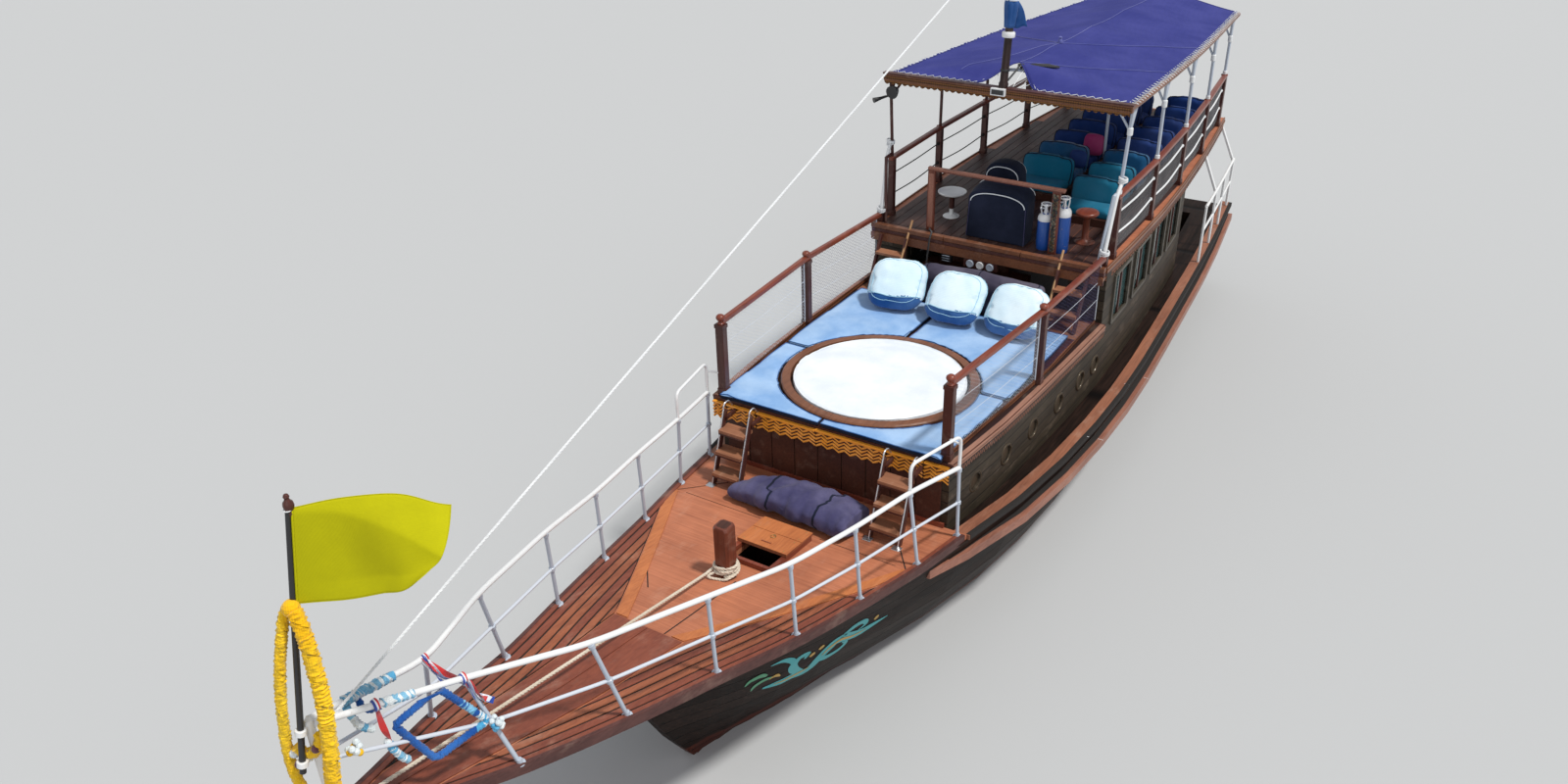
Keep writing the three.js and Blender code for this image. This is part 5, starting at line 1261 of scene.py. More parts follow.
UPPER_POSTS = [(-2.08, 1.57), (-3.6, 1.58), (-5.13, 1.53), (-6.66, 1.43), (-8.19, 1.29)]
RAIL_Z = 3.83
for side, word in SIDES:
    rail, net, trim = Shape(), Shape(), Shape()
    for x, y in UPPER_POSTS:
        block(rail, x, side * y, UPPER_TOP + 0.003, RAIL_Z - 0.045, 0.042, 0.042)
        block(rail, x, side * y, UPPER_TOP + 0.003, UPPER_TOP + 0.075, 0.05, 0.05)
        rail.turned([(0.052, -0.02), (0.056, -0.006), (0.05, 0.004), (0.0, 0.005)], (x, side * y, RAIL_Z),
                    12, kind=1)
    line = [Vector((x, side * y, RAIL_Z - 0.027)) for x, y in UPPER_POSTS]
    line[0].x += 0.06
    line[-1].x -= 0.06
    for a, b in zip(line, line[1:]):
        for lift, wide, high in ((0, 0.078, 0.046), (0.02, 0.056, 0.018)):
            rail.beam(a + Vector((0, 0, lift)), b + Vector((0, 0, lift)), wide, high, kind=1)
    radius, kind = (0.013, 1) if side > 0 else (0.008, 2)
    for (x0, y0), (x1, y1) in zip(UPPER_POSTS, UPPER_POSTS[1:]):
        ends = (x0 - 0.05, side * y0), (x1 + 0.05, side * y1)
        if side > 0:
            netting(net, *[(*end, z) for z in (UPPER_TOP + 0.09, RAIL_Z - 0.06) for end in ends], 0.042,
                    0.0024, slope=1.0)
        for share, sag in ((0.36, 0.035), (0.7, 0.02)):
            z = UPPER_TOP + share * (RAIL_Z - UPPER_TOP)
            middle = ((ends[0][0] + ends[1][0]) / 2, (ends[0][1] + ends[1][1]) / 2 + side * 0.01, z - sag)
            net.tube(spline([(*ends[0], z), middle, (*ends[1], z)], 8), radius, 8, kind=kind)
            for end in ends:
                net.ball((*end, z), 0.026, 8, kind=kind)
    stations = between(-1.72, -8.66, 40)
    for drop, out, tall, kind in ((0.01, 0.02, 0.03, 0), (0.06, 0.028, 0.04, 0), (0.105, 0.014, 0.03, 2)):
        trim.strip(*edge_lines(stations, side, upper_y, lambda x: UPPER_TOP - drop, 0.001, out), tall,
                   kind=kind)
    hanging(trim, [(x, side * (upper_y(x) + 0.004), UPPER_TOP - 0.105) for x in stations], 0.085, 0.1,
            kind=1, out=(0, side, 0))
    rail.make(f"upper_rail_{word}_timber", RAIL_DARK, RAIL, bevel=0.005, replaces=[f"upper_rail_{word}"])
    net.make(f"upper_net_{word}", DARK_NET, ROPE_WHITE, PITCH_AND_PAINTED_SHADE)
    trim.make(f"upper_deck_edge_{word}", BROWN, CARVED, EDGE, bevel=0.002)

# Front edge of the upper deck: four stacked mouldings, and the boards behind them

beam = Shape()
for low, high, x0, x1, kind in ((2.955, 3.015, -1.7, -1.612, 0), (2.895, 2.948, -1.7, -1.628, 1),
                                (2.835, 2.888, -1.7, -1.604, 0), (2.78, 2.83, -1.655, -1.618, 1)):
    for y0, y1 in ((-1.635, -0.56), (-0.55, 0.52), (0.53, 1.635)):
        beam.box((x0 + 0.004, y0, low), (x1, y1, high), kind=kind)
beam.make("upper_beam_mouldings", BROWN, EDGE, bevel=0.006)
# The boards' colours hold painted shade from the awning.
boards = Shape()
for i in range(24):
    y0 = -1.55 + i * 0.1295
    stations = [x for x in between(-1.73, -8.64, 40) if abs(y0 + 0.065) < upper_y(x) - 0.09]
    if len(stations) > 4:
        boards.strip(*[[(x, y, UPPER_TOP + 0.0015) for x in stations] for y in (y0, y0 + 0.122)], 0.008,
                     kind=i % 2)
boards.make("upper_deck_boards", FLOOR, DARK_FLOOR_IN_PAINTED_SHADE, bevel=0.002)

# Boards of the sun deck behind the mattress

boards = Shape()
for i in range(13):
    y0 = -1.56 + i * 0.24
    boards.strip(*[[(x, y, sun_z(x) + 0.0015) for x in between(-1.66, -1.09, 6)] for y in (y0, y0 + 0.23)],
                 0.007, kind=i % 2)
boards.make("sun_deck_boards", TREAD, BROWN, bevel=0.002)

# Awning: one curved sheet over the bows, flat along the front beam, notched round the mast

AWNING_X = (-2.05, -8.69)
NOTCH = 0.42                     # how far the cloth's front edge goes back round the mast
CROWN = 0.235
LACE_PITCH = 0.42


def eave_z(x):
    return 4.95 + (x + 2.04) / (-8.67 + 2.04) * (4.7 - 4.95)


eave_y = smooth_line([(-8.67, 1.25), (-7.0, 1.39), (-5.5, 1.5), (-3.8, 1.575), (-2.04, 1.62)])
BOWS = (-2.47, -3.6, -5.13, -6.66, -8.63)


def cloth_z(x, s):
    """Height of the cloth: crowned at the ridge, hollow between ridge and eave, sagging between bows."""
    rise = CROWN * (1 - abs(s) ** 1.25) ** 1.35
    ahead = min(1.0, max(0.0, (AWNING_X[0] - x) / 0.4))
    rise *= 0.1 + 0.9 * ahead * ahead * (3 - 2 * ahead)
    sag = 0.0
    for a, b in zip(BOWS, BOWS[1:]):
        if b <= x <= a:
            sag = 0.024 * sin(pi * (x - a) / (b - a)) * (1 - abs(s) ** 4)
    pull = 0.008 * abs(s) ** 10 * cos(x * 2 * pi / LACE_PITCH)
    return eave_z(x) + 0.012 + rise - sag + pull


rows = []
for s in between(-1, 1, 56):
    front = AWNING_X[0] - NOTCH * max(0.0, 1 - abs(s) / 0.24)
    rows.append([(x, s * (eave_y(x) - 0.035 - 0.01 * cos(x * 2 * pi / LACE_PITCH)), cloth_z(x, s))
                 for x in between(front, AWNING_X[1], 96)])
awning = Shape().grid(rows).make("awning_sheet", AWNING, sharp=180, thick=0.004, replaces=["awning"])
hem = Shape()
hem.tube([row[0] for row in rows] + rows[-1][1:] + [row[-1] for row in reversed(rows[:-1])]
         + rows[0][-2:0:-1], 0.009, 6, closed=True)
for start, end in (((AWNING_X[0] - NOTCH, 0.0), (-8.66, 0.0)), ((-3.9, -0.02), (-2.3, -0.72)),
                   ((-3.9, 0.02), (-5.6, 1.42)), ((-2.5, 0.02), (-3.9, 1.5)),
                   ((-3.9, -0.02), (-5.2, -1.44))):
    line = []
    for t in between(0, 1, 30):
        x = start[0] + (end[0] - start[0]) * t
        s = (start[1] + (end[1] - start[1]) * t) / eave_y(x)
        line.append((x, s * eave_y(x), cloth_z(x, s) + 0.004))
    hem.tube(line, 0.0045, 5, kind=1)
hem.turned([(0.03, 0.0), (0.032, 0.03), (0.018, 0.05), (0.024, 0.075), (0.0, 0.09)],
           (-3.9, 0.0, cloth_z(-3.9, 0) + 0.004), 12, kind=1)
hem = hem.make("awning_hem", AWNING, AWNING_SEAM)

# Cord laced in a zigzag round the brown eave poles

lace = Shape()
for side in (1, -1):
    lace.tube([(x, side * (eave_y(x) + (0.03 if i % 2 else -0.062)), eave_z(x) + (0.0 if i % 2 else 0.026))
               for i, x in enumerate(between(-2.1, -8.64, 124))], 0.0065, 5)
for side in (1, -1):
    lace.tube([(-2.005 if i % 2 else -2.085, side * y, 4.986 if i % 2 else 4.985)
               for i, y in enumerate(between(0.4, 1.52, 22))], 0.0055, 5)
    lace.tube([(-2.09, side * 0.38, 4.98), (-2.2, side * 0.3, 5.02), (-2.06, side * 0.21, 4.985),
               (-2.28, side * 0.2, 5.05), (-2.04, side * 0.1, 4.985), (-2.37, side * 0.1, 5.12)], 0.0055, 5)
lace.make("awning_lacing", ROPE_WHITE)
poles = Shape()
for side in (1, -1):
    poles.tube([(x, side * eave_y(x), eave_z(x) - 0.025) for x in between(-1.96, -8.68, 24)], 0.034, 10)
poles.make("eave_poles", BROWN)

# Front beam with a carved hanging edge, corner lamp and small lamp box

front_beam = Shape()
front_beam.box((-2.012, -1.65, 4.885), (-1.934, 1.65, 4.975))
front_beam.box((-2.018, -1.66, 4.968), (-1.928, 1.66, 4.988), kind=1)
front_beam.box((-1.936, -1.64, 4.905), (-1.926, 1.64, 4.95), kind=2)
hanging(front_beam, [(-1.945, y, 4.888) for y in between(-1.64, 1.64, 90)], 0.05, 0.085, kind=2,
        out=(1, 0, 0))
front_beam.make("front_beam_carved", BROWN, RAIL_DARK, GILT, bevel=0.004, replaces=["awning_front_beam"])
lamps = Shape()
lamps.box((-1.925, -0.13, 4.895), (-1.88, 0.06, 4.985), kind=0)
lamps.box((-1.882, -0.115, 4.91), (-1.874, 0.045, 4.97), kind=1)
lamps.turned([(0.035, 0.0), (0.055, 0.03), (0.085, 0.1), (0.088, 0.12), (0.0, 0.115)], (-2.02, -1.5, 4.76),
             16, axis=(0.9, -0.1, -0.15), kind=2)
lamps.beam((-1.99, -1.5, 4.78), (-1.99, -1.5, 4.89), 0.02, 0.02, kind=2)
lamps.turned([(0.014, 0.0), (0.02, 0.14), (0.034, 0.24), (0.038, 0.25), (0.0, 0.245)], (-2.06, -1.61, 4.66),
             12, axis=(0.8, -0.55, -0.15), kind=2)
lamps.make("beam_lamps", WHITE, DIAL, BLACK, bevel=0.003)

# White braces from the sun rails up to the first awning posts, with lashings

braces = Shape()
for side in (1, -1):
    brace = rounded([(-2.08, side * 1.6, 4.02), (-1.95, side * 1.585, 3.86), (-1.78, side * 1.565, 3.16)],
                    0.12)
    braces.tube(brace, 0.024, 10)
    for place, size in ((brace[0], 0.05), (brace[-1], 0.055)):
        for k in range(4):
            ring = [place + Vector((size * cos(a), size * sin(a), -0.03 + 0.018 * k + 0.012 * sin(a + k)))
                    for a in turns(14)]
            braces.tube(ring, 0.01, 6, closed=True, kind=1)
    for x, y in UPPER_POSTS if side > 0 else ():
        braces.turned([(0.026, -0.05), (0.036, -0.04), (0.036, 0.04), (0.026, 0.05)],
                      (x, y + (eave_y(x) - y) * 0.8, eave_z(x) - 0.32), 10, kind=1)
        braces.turned([(0.026, 0.0), (0.034, 0.005), (0.034, 0.05), (0.026, 0.055)], (x, y, RAIL_Z + 0.004),
                      10, kind=1)
braces.make("awning_braces", WHITE, ROPE_WHITE)

# Helm: rail with a garland, covered console and seat, bench, gas cylinders, stool and side table

HELM_X = -1.83
STANDING = UPPER_TOP + 0.004     # height at which things stand on the upper deck
helm = Shape()
helm.box((HELM_X - 0.03, -0.9, 3.836), (HELM_X + 0.03, 0.975, 3.866))
helm.box((HELM_X - 0.022, -0.895, 3.818), (HELM_X + 0.022, 0.97, 3.838), kind=1)
for y in (-0.85, 0.868):
    helm.box((HELM_X - 0.018, y - 0.052, UPPER_TOP + 0.003), (HELM_X + 0.018, y + 0.052, 3.82), kind=1)
    helm.box((HELM_X + 0.017, y - 0.036, UPPER_TOP + 0.05), (HELM_X + 0.022, y + 0.036, 3.78))
helm.make("helm_rail_timber", STRAKE, POST, bevel=0.005, replaces=["helm_rail"])
garland = Shape()
flowers = random.Random(5)
for k in range(66):
    z = 3.78 - k * 0.0115
    for side in (-1, 1):
        ahead, across = flowers.uniform(-0.006, 0.012), flowers.uniform(0.004, 0.026)
        at = (HELM_X + 0.03 + ahead, 0.868 + side * across, z)
        kind = flowers.choices((0, 1, 2), (0.22, 0.48, 0.3))[0]
        garland.ball(at, flowers.uniform(0.012, 0.018), 6, kind=kind)
garland.make("helm_garland", OLD_MARIGOLD, BLACK, OLD_LEAF)

COVERS = (("console_cover", -1.852, 0.07, 0.415, 0.415, 0.545, 0.695, 0.275, 0.03, 0.075),
          ("console_seat_cover", -2.615, -0.19, 0.335, 0.25, 0.64, 0.8, 0.235, 0.03, 0.0))
for name, at_x, centre, foot, half, shoulder, crown, depth, lean, swing in COVERS:
    profile = [(foot, 0.012), ((foot + half) / 2, shoulder * 0.5), (half, shoulder)]
    profile += [(half * cos(a) ** 0.8 if a < 1.57 else -half * (-cos(a)) ** 0.8,
                 shoulder + (crown - shoulder) * sin(a)) for a in between(0, pi, 26)[1:-1]]
    profile += [(-half, shoulder), (-(foot + half) / 2, shoulder * 0.5), (-foot, 0.012)]
    rings = []
    for t, squeeze in ((0, 0.93), (0.03, 0.985), (0.5, 1.0), (0.97, 0.985), (1.0, 0.93)):
        rings.append([(at_x - lean * (v / crown) - depth * t, centre + u * squeeze,
                       STANDING + 0.02 * (1 - squeeze) + v * squeeze + swing * t * (v / crown) ** 2)
                      for u, v in profile])
    Shape().loft(rings).make(name, NAVY, sharp=60, bevel=0.018,
                             replaces=["helm_console"] if name == "console_cover" else ())
    piping = Shape()
    for t, size, radius in ((-0.004, 0.9, 0.0065), (1.0, 0.95, 0.005)):
        line = [(at_x - lean * (v * size / crown) - depth * t + (0.006 if t < 0.5 else -0.008),
                 centre + u * size, UPPER_TOP + 0.02 + v * size + swing * t) for u, v in profile[2:-2]]
        piping.tube(line, radius, 6)
    for u in (-foot * 0.97, foot * 0.97):
        piping.tube([(at_x + 0.004, centre + u, UPPER_TOP + 0.02),
                     (at_x - lean * 0.7, centre + (half / foot) * u * 0.96, UPPER_TOP + shoulder * 0.93)],
                     0.004, 5, kind=1)
    piping.make(name + "_piping", WHITE_PIPING, SLATE)
bench = Shape()
bench.box((-2.72, -0.45, STANDING), (-2.105, 0.15, UPPER_TOP + 0.3), kind=1)
bench.box((-2.6, -0.455, UPPER_TOP + 0.3), (-2.145, 0.155, UPPER_TOP + 0.378))
bench.make("helm_bench", NAVY, WALL, bevel=0.022)

gas = Shape()
for y, tall in ((0.702, 0.86), (0.938, 1.08)):
    base = Vector((-1.955, y, STANDING))
    gas.turned([(0.0, 0.012), (0.07, 0.012), (0.084, 0.0), (0.088, 0.006), (0.089, 0.03), (0.094, 0.05),
                (0.095, 0.08), (0.095, 0.46 * tall), (0.092, 0.5 * tall), (0.076, 0.535 * tall),
                (0.045, 0.555 * tall), (0.032, 0.565 * tall)], base, 24)
    gas.turned([(0.0945, 0.455 * tall), (0.0975, 0.465 * tall), (0.0955, 0.51 * tall), (0.078, 0.542 * tall),
                (0.056, 0.556 * tall)], base, 24, kind=1)
    neck = base + Vector((0, 0, 0.56 * tall))
    gas.turned([(0.03, 0.0), (0.03, 0.035), (0.02, 0.045), (0.02, 0.085), (0.032, 0.09), (0.034, 0.125),
                (0.022, 0.135), (0.0, 0.14)], neck, 14, kind=2)
    gas.turned([(0.012, 0.0), (0.012, 0.05), (0.018, 0.055), (0.018, 0.075), (0.0, 0.08)],
               neck + Vector((0, 0, 0.065)), 10, axis=(0.3, -1, 0), kind=2)
    for a in (0.4, 2.5, 4.6):
        gas.tube(spline([neck + Vector((0.055 * cos(a), 0.055 * sin(a), -0.02)),
                         neck + Vector((0.07 * cos(a), 0.07 * sin(a), 0.06)),
                         neck + Vector((0.062 * cos(a), 0.062 * sin(a), 0.125))], 5), 0.009, 6, kind=1)
    gas.tube(circle(neck + Vector((0, 0, 0.125)), (0.062, 0, 0), (0, 0.062, 0), 20), 0.009, 6, closed=True,
             kind=1)
gas.box((-1.975, 0.79, UPPER_TOP + 0.25), (-1.935, 0.85, UPPER_TOP + 0.285), kind=2)
gas.make("gas_cylinder_pair", STEEL_BLUE, WHITE, CHROME, sharp=50, replaces=["gas_cylinders"])

stool = Shape()
stool.turned([(0.0, 0.0), (0.13, 0.0), (0.134, 0.014), (0.116, 0.032), (0.06, 0.045), (0.046, 0.07),
              (0.044, 0.33), (0.06, 0.36), (0.125, 0.382), (0.135, 0.388)], (-2.4, 1.1, STANDING), 24)
stool.turned([(0.0, 0.38), (0.138, 0.386), (0.147, 0.398), (0.149, 0.416), (0.138, 0.43), (0.1, 0.438),
              (0.0, 0.437)],
             (-2.4, 1.1, STANDING), 28, kind=1)
stool.make("stool_turned", POST, RAIL, sharp=50, replaces=["stool"])
table = Shape()
table.turned([(0.0, 0.0), (0.113, 0.0), (0.116, 0.012), (0.106, 0.022), (0.045, 0.032), (0.03, 0.05),
              (0.03, 0.31), (0.05, 0.332), (0.1, 0.338)], (-2.41, -0.81, STANDING), 24)
table.turned([(0.0, 0.336), (0.17, 0.338), (0.192, 0.35), (0.197, 0.368), (0.19, 0.37), (0.176, 0.356),
              (0.0, 0.352)],
             (-2.41, -0.81, STANDING), 32)
table.turned([(0.031, 0.12), (0.038, 0.125), (0.038, 0.28), (0.031, 0.285)], (-2.41, -0.81, STANDING), 16,
             kind=1)
table.make("side_table_round", WHITE, RAIL_DARK, sharp=50, replaces=["side_table"])

# Three dials under the deck edge; the rope over it gets its look

dials = Shape()
DIAL_X, DIAL_Z = -1.604, 2.729
for y, kind in ((-0.145, 4), (-0.005, 0), (0.135, 4)):
    at = (DIAL_X, y, DIAL_Z)
    dials.turned([(0.052, 0.0), (0.052, 0.02), (0.046, 0.026), (0.04, 0.022)], at, 24, axis=(1, 0, 0),
                 kind=kind)
    dials.turned([(0.0, 0.0), (0.042, 0.0), (0.042, 0.018), (0.0, 0.018)], at, 20, axis=(1, 0, 0), kind=1)
    dials.beam((DIAL_X + 0.0195, y, DIAL_Z), (DIAL_X + 0.0195, y + 0.02, DIAL_Z + 0.021), 0.004, 0.002,
               up=(1, 0, 0))
dials.box((-1.66, -0.24, DIAL_Z - 0.06), (DIAL_X, 0.23, DIAL_Z + 0.058), kind=3)
for k in range(3):
    dials.box((-1.655, -0.56, 2.686 + 0.034 * k), (-1.585, -0.42, 2.708 + 0.034 * k), kind=2)
    dials.box((-1.587, -0.54, 2.702 + 0.034 * k), (-1.579, -0.44, 2.707 + 0.034 * k), kind=4)
dials.make("helm_dials", WHITE, DIAL, BLACK, RAIL_DARK, GREY_PIPE, bevel=0.002)

hanging_rope.data.materials.append(BLACK_ROPE)

# Mast, its fittings, the furled cloth and a short gaff end on the awning

RAKE = 0.1
mast_foot = Vector((-1.973, 0.0, 4.981))
mast_up = Vector((-sin(RAKE), 0, cos(RAKE)))
spar = Shape()
for rows, sides, kind in (
        ([(0.058, 0.0), (0.062, 0.05), (0.05, 0.08), (0.049, 0.6), (0.049, 1.8), (0.034, 2.34),
          (0.026, 2.35), (0.026, 2.43), (0.0, 2.435)], 18, 0),
        ([(0.05, 0.6), (0.078, 0.606), (0.082, 0.62), (0.082, 0.66), (0.076, 0.672), (0.05, 0.675)], 18, 1),
        ([(0.052, 0.2), (0.06, 0.204), (0.06, 0.225), (0.052, 0.23)], 14, 2),
        ([(0.05, 1.92), (0.06, 1.925), (0.06, 1.97), (0.05, 1.975)], 14, 2)):
    spar.turned(rows, mast_foot, sides, axis=mast_up, kind=kind)
spar.make("mast_timber", MAST, WHITE, BLACK, sharp=45, replaces=["mast"])
gaff = Shape()
gaff.tube([(-2.44, 0.02, 5.125), (-2.52, 0.16, 5.15), (-2.6, 0.33, 5.14), (-2.66, 0.46, 5.125)],
          [0.016, 0.022, 0.03, 0.012], 8)
gaff.tube(spline([(-2.03, 0.03, 5.06), (-2.2, 0.03, 5.1), (-2.36, 0.02, 5.13), (-2.46, 0.0, 5.145)], 5),
          0.014, 6, kind=1)
gaff.tube(spline([(-2.46, -0.01, 5.15), (-2.42, 0.05, 5.17), (-2.47, 0.08, 5.15), (-2.5, 0.02, 5.16)], 6),
          0.014, 6, kind=1)
gaff.make("gaff_end", BLACK, BLACK_ROPE)

rings = []
side_dir = mast_up.cross(Vector((0, 1, 0)))
TIES = (1.05, 1.42)              # heights of the ties up the mast
for h in between(0.72, 1.75, 40):
    share = (h - 0.72) / 1.03
    size = 0.056 + 0.03 * sin(pi * min(1.0, share * 1.25 + 0.08)) ** 1.2
    size -= sum(0.01 * exp(-((h - tie) / 0.03) ** 2) for tie in TIES)
    ring = []
    for a in turns(40):
        reach = size + 0.006 * sin(5 * a + h * 3) + 0.003 * sin(11 * a - h * 5 + 1)
        ring.append(mast_foot + mast_up * h + reach * (Vector((0, 1, 0)) * cos(a) + side_dir * sin(a)))
    rings.append(ring)
flap = [[mast_foot + mast_up * (1.06 - 0.34 * t + 0.03 * k * t + 0.012 * sin(7 * k + 3 * t))
         + Vector((0.02 * sin(6 * t + 2 * k) - 0.03 * k * t, 0.055 + 0.17 * k * t ** 0.8, 0))
         for k in between(0, 1, 8)] for t in between(0, 1, 10)]
furl = Shape().loft(rings, shut=False).make("furled_sheet", FURLED, sharp=180, thick=0.003,
                                            replaces=["furled_cloth"])
corner = Shape().grid(flap).make("furled_corner", FURLED, sharp=180, thick=0.003)
ties = Shape()
for h in TIES:
    for k in range(3):
        ties.tube(circle(mast_foot + mast_up * (h + 0.012 * k - 0.012), (0, 0.079, 0), 0.079 * side_dir, 28),
                  0.006, 6, closed=True)
ties = ties.make("furling_ties", ROPE_WHITE)

# Bow post, raked black flagstaff and the stay to the mast

RAKE_AFT = (9.031 - 8.63) / (5.19 - 3.3)


def staff_point(z):
    return Vector((8.63 + (5.19 - z) * RAKE_AFT, 0.0, z))


post = Shape()
post.turned([(0.032, deck_z(8.9) - 0.03), (0.032, 3.63), (0.026, 3.65), (0.0, 3.655)], (8.9, 0, 0), 14)
post.turned([(0.06, deck_z(8.9)), (0.06, deck_z(8.9) + 0.01), (0.036, deck_z(8.9) + 0.016)], (8.9, 0, 0), 14)
post.tube([staff_point(z) for z in (3.3, 4.0, 4.6, 5.1)], [0.022, 0.021, 0.019, 0.017], 12, kind=1)
for z in (3.37, 3.6):
    foot = staff_point(z)
    post.beam((8.87, 0, z), (foot.x, 0, z), 0.034, 0.03)
    post.turned([(0.034, -0.022), (0.038, -0.018), (0.038, 0.018), (0.034, 0.022)], foot, 12,
                axis=staff_point(4) - staff_point(3))
    post.turned([(0.008, 0.0), (0.012, 0.004), (0.012, 0.012), (0.0, 0.016)], (8.96, 0.015, z), 8,
                axis=(0, 1, 0), kind=2)
post.turned([(0.019, 5.06), (0.026, 5.07), (0.028, 5.085), (0.022, 5.1), (0.03, 5.115), (0.034, 5.135),
             (0.03, 5.158), (0.018, 5.172), (0.014, 5.186), (0.02, 5.196), (0.014, 5.212), (0.0, 5.218)],
             (8.634, 0, 0), 14, kind=3)
post.make("flagstaff_and_post", WHITE, BLACK, CHROME, RAIL_DARK, sharp=45, bevel=0.003,
          replaces=["flagstaff"])

stay = Shape()
stay_low, stay_high = Vector((8.864, 0, 3.5)), Vector((-2.121, 0, 6.9305))
rope(stay, [stay_low.lerp(stay_high, t) for t in between(0, 1, 40)], 0.0105, lay=0.1, sides=5)
for place, way in ((stay_low, 1), (stay_high, -1)):
    axis = (stay_high - stay_low).normalized() * way
    for k in range(6):
        stay.turned([(0.01, 0.0), (0.016, 0.003), (0.016, 0.012), (0.01, 0.015)],
                    place + axis * (0.05 + 0.018 * k), 8, axis=axis)
stay.make("forestay_rope", ROPE_WHITE, replaces=["forestay"])

# Yellow flag on its staff, in waves, with the lower fly corner curling away

FLAG_SIZE = (0.97, 0.62)
FLAG_TOP = 5.118
HEADING = Vector((cos(2.12), sin(2.12), 0.0))
OFFWIND = Vector((-HEADING.y, HEADING.x, 0.0))


def flag_point(s, t):
    """A point of the flag: s along the fly, t down the hoist, both 0 to 1."""
    hoist = staff_point(FLAG_TOP - FLAG_SIZE[1] * t) + HEADING * 0.021
    reach = FLAG_SIZE[0] * s * (1.0 - (0.15 * t * t + 0.08 * (1 - t) ** 2) * s ** 2)
    crease = 0.05 + 0.46 * s ** 1.5
    lean = 0.42 * max(0.0, crease - t) ** 1.15 - 0.34 * s * max(0.0, t - 0.8) ** 1.1
    wave = 0.04 * s * sin(5.4 * s + 1.5 * t - 0.4) + 0.016 * s * sin(12 * s - 5 * t) + lean
    curl = 0.15 * t * max(0.0, s - 0.62) ** 1.4 * 3.0
    lift = 0.085 * s + 0.2 * t * t * s ** 2.4 + (0.04 * sin(3.2 * s) - 0.17 * s * s) * (1 - t)
    return hoist + HEADING * reach + OFFWIND * (wave - curl) + Vector((0, 0, lift))


# The flag's yellow holds painted shade.
flag = Shape().grid([[flag_point(s, t) for s in between(0, 1, 56)] for t in between(0, 1, 36)])
flag = flag.make("yellow_flag_sheet", YELLOW_IN_PAINTED_SHADE, sharp=180, thick=0.0025, replaces=["yellow_flag"])
hems = Shape()
hems.tube([flag_point(0.004, t) for t in between(0, 1, 30)], 0.007, 6)
for t in (0.004, 0.996):
    hems.tube([flag_point(s, t) for s in between(0, 1, 50)], 0.0028, 5)
hems.tube([flag_point(0.997, t) for t in between(0, 1, 30)], 0.0028, 5)
for t in (0.01, 0.99):
    at = staff_point(FLAG_TOP - FLAG_SIZE[1] * t)
    hems.tube(circle(at, (0.024, 0, 0), (0, 0.024, 0), 14), 0.004, 5, closed=True, kind=1)
hems = hems.make("yellow_flag_hems", YELLOW_IN_PAINTED_SHADE, ROPE_WHITE)

# Flower garlands and ribbons round the pulpit and the staff


PETAL_PITCH = 0.03


def flower_rope(shape, path, radius, closed=False, kinds=(0,), seed=1, sides=10):
    """A thick garland: tight rings of petals along a path."""
    path = [Vector(p) for p in path]
    shuffle = random.Random(seed)
    line = []
    ring = path + path[:1] * closed
    for a, b in zip(ring, ring[1:]):
        count = max(1, round((b - a).length / (PETAL_PITCH / 2)))
        line += [a.lerp(b, k / count) for k in range(count)]
    if not closed:
        line.append(path[-1])
    rings = []
    for i, (p, (along, side, rise)) in enumerate(zip(line, frames(line, closed))):
        size = radius * (1.0 if i % 2 else 0.8)
        rings.append([p + size * (1 + shuffle.uniform(-0.1, 0.12)) * (side * cos(a) + rise * sin(a))
                      + along * shuffle.uniform(-0.2, 0.2) * PETAL_PITCH for a in turns(sides)])
    around = sides - 1
    count = len(rings)
    faces, looks = [], []
    for i in range(count if closed else count - 1):
        j = (i + 1) % count
        kind = kinds[int(i / count * len(kinds) * 0.999)]
        if isinstance(kind, tuple):
            kind = shuffle.choice(kind)
        for k in range(around):
            m = (k + 1) % around
            faces.append((i * around + k, i * around + m, j * around + m, j * around + k))
            looks.append(kind)
    if not closed:
        faces += [tuple(reversed(range(around))), tuple(range((count - 1) * around, count * around))]
        looks += [kinds[0] if not isinstance(kinds[0], tuple) else kinds[0][0]] * 2
    shape.add([p for ring in rings for p in ring], faces, looks)


marigold = Shape()
PORT_STRAND = [(8.8, 0.03, 4.475), (8.815, 0.085, 4.36), (8.835, 0.135, 4.15), (8.87, 0.18, 3.85),
               (8.92, 0.2, 3.55), (8.965, 0.195, 3.28), (8.995, 0.14, 3.05), (9.01, 0.02, 2.985)]
BACK_STRAND = [(9.01, -0.09, 3.06), (9.02, -0.13, 3.32), (8.99, -0.11, 3.7), (8.93, -0.085, 4.05),
               (8.868, -0.066, 4.28), (8.818, -0.052, 4.43), (8.79, -0.012, 4.49)]
loop = spline(PORT_STRAND + BACK_STRAND, 8, closed=True)
half = len(PORT_STRAND) * 8 - 4
flower_rope(marigold, loop[:half], 0.053, seed=3, sides=14)
flower_rope(marigold, loop[half - 1:] + [loop[0]], 0.038, seed=4, sides=12)
knot = spline([(8.9, 0.1, 3.58), (8.925, 0.06, 3.45), (8.96, -0.02, 3.4), (9.0, -0.07, 3.5)], 6)
flower_rope(marigold, knot, 0.04, seed=8, sides=12)
BLOSSOMS = [(8.8, 0.005, 4.485, 0.058, 12, 0), (8.945, 0.075, 3.475, 0.03, 10, 2),
            (9.015, -0.035, 3.345, 0.034, 10, 2), (9.0, -0.085, 3.405, 0.036, 10, 1)]
for x, y, z, radius, sides, kind in BLOSSOMS:
    marigold.ball((x, y, z), radius, sides, kind=kind)
for k in range(9):
    a = k * 0.7
    marigold.ball((8.75 + 0.035 * cos(a), 0.165 + 0.03 * sin(a), 3.345 + 0.03 * sin(2.3 * a)), 0.026, 8,
                  kind=1 if k % 3 else 0)
marigold.make("marigold_garland", MARIGOLD, WHITE_PETALS, PLUM_PETALS, sharp=70)


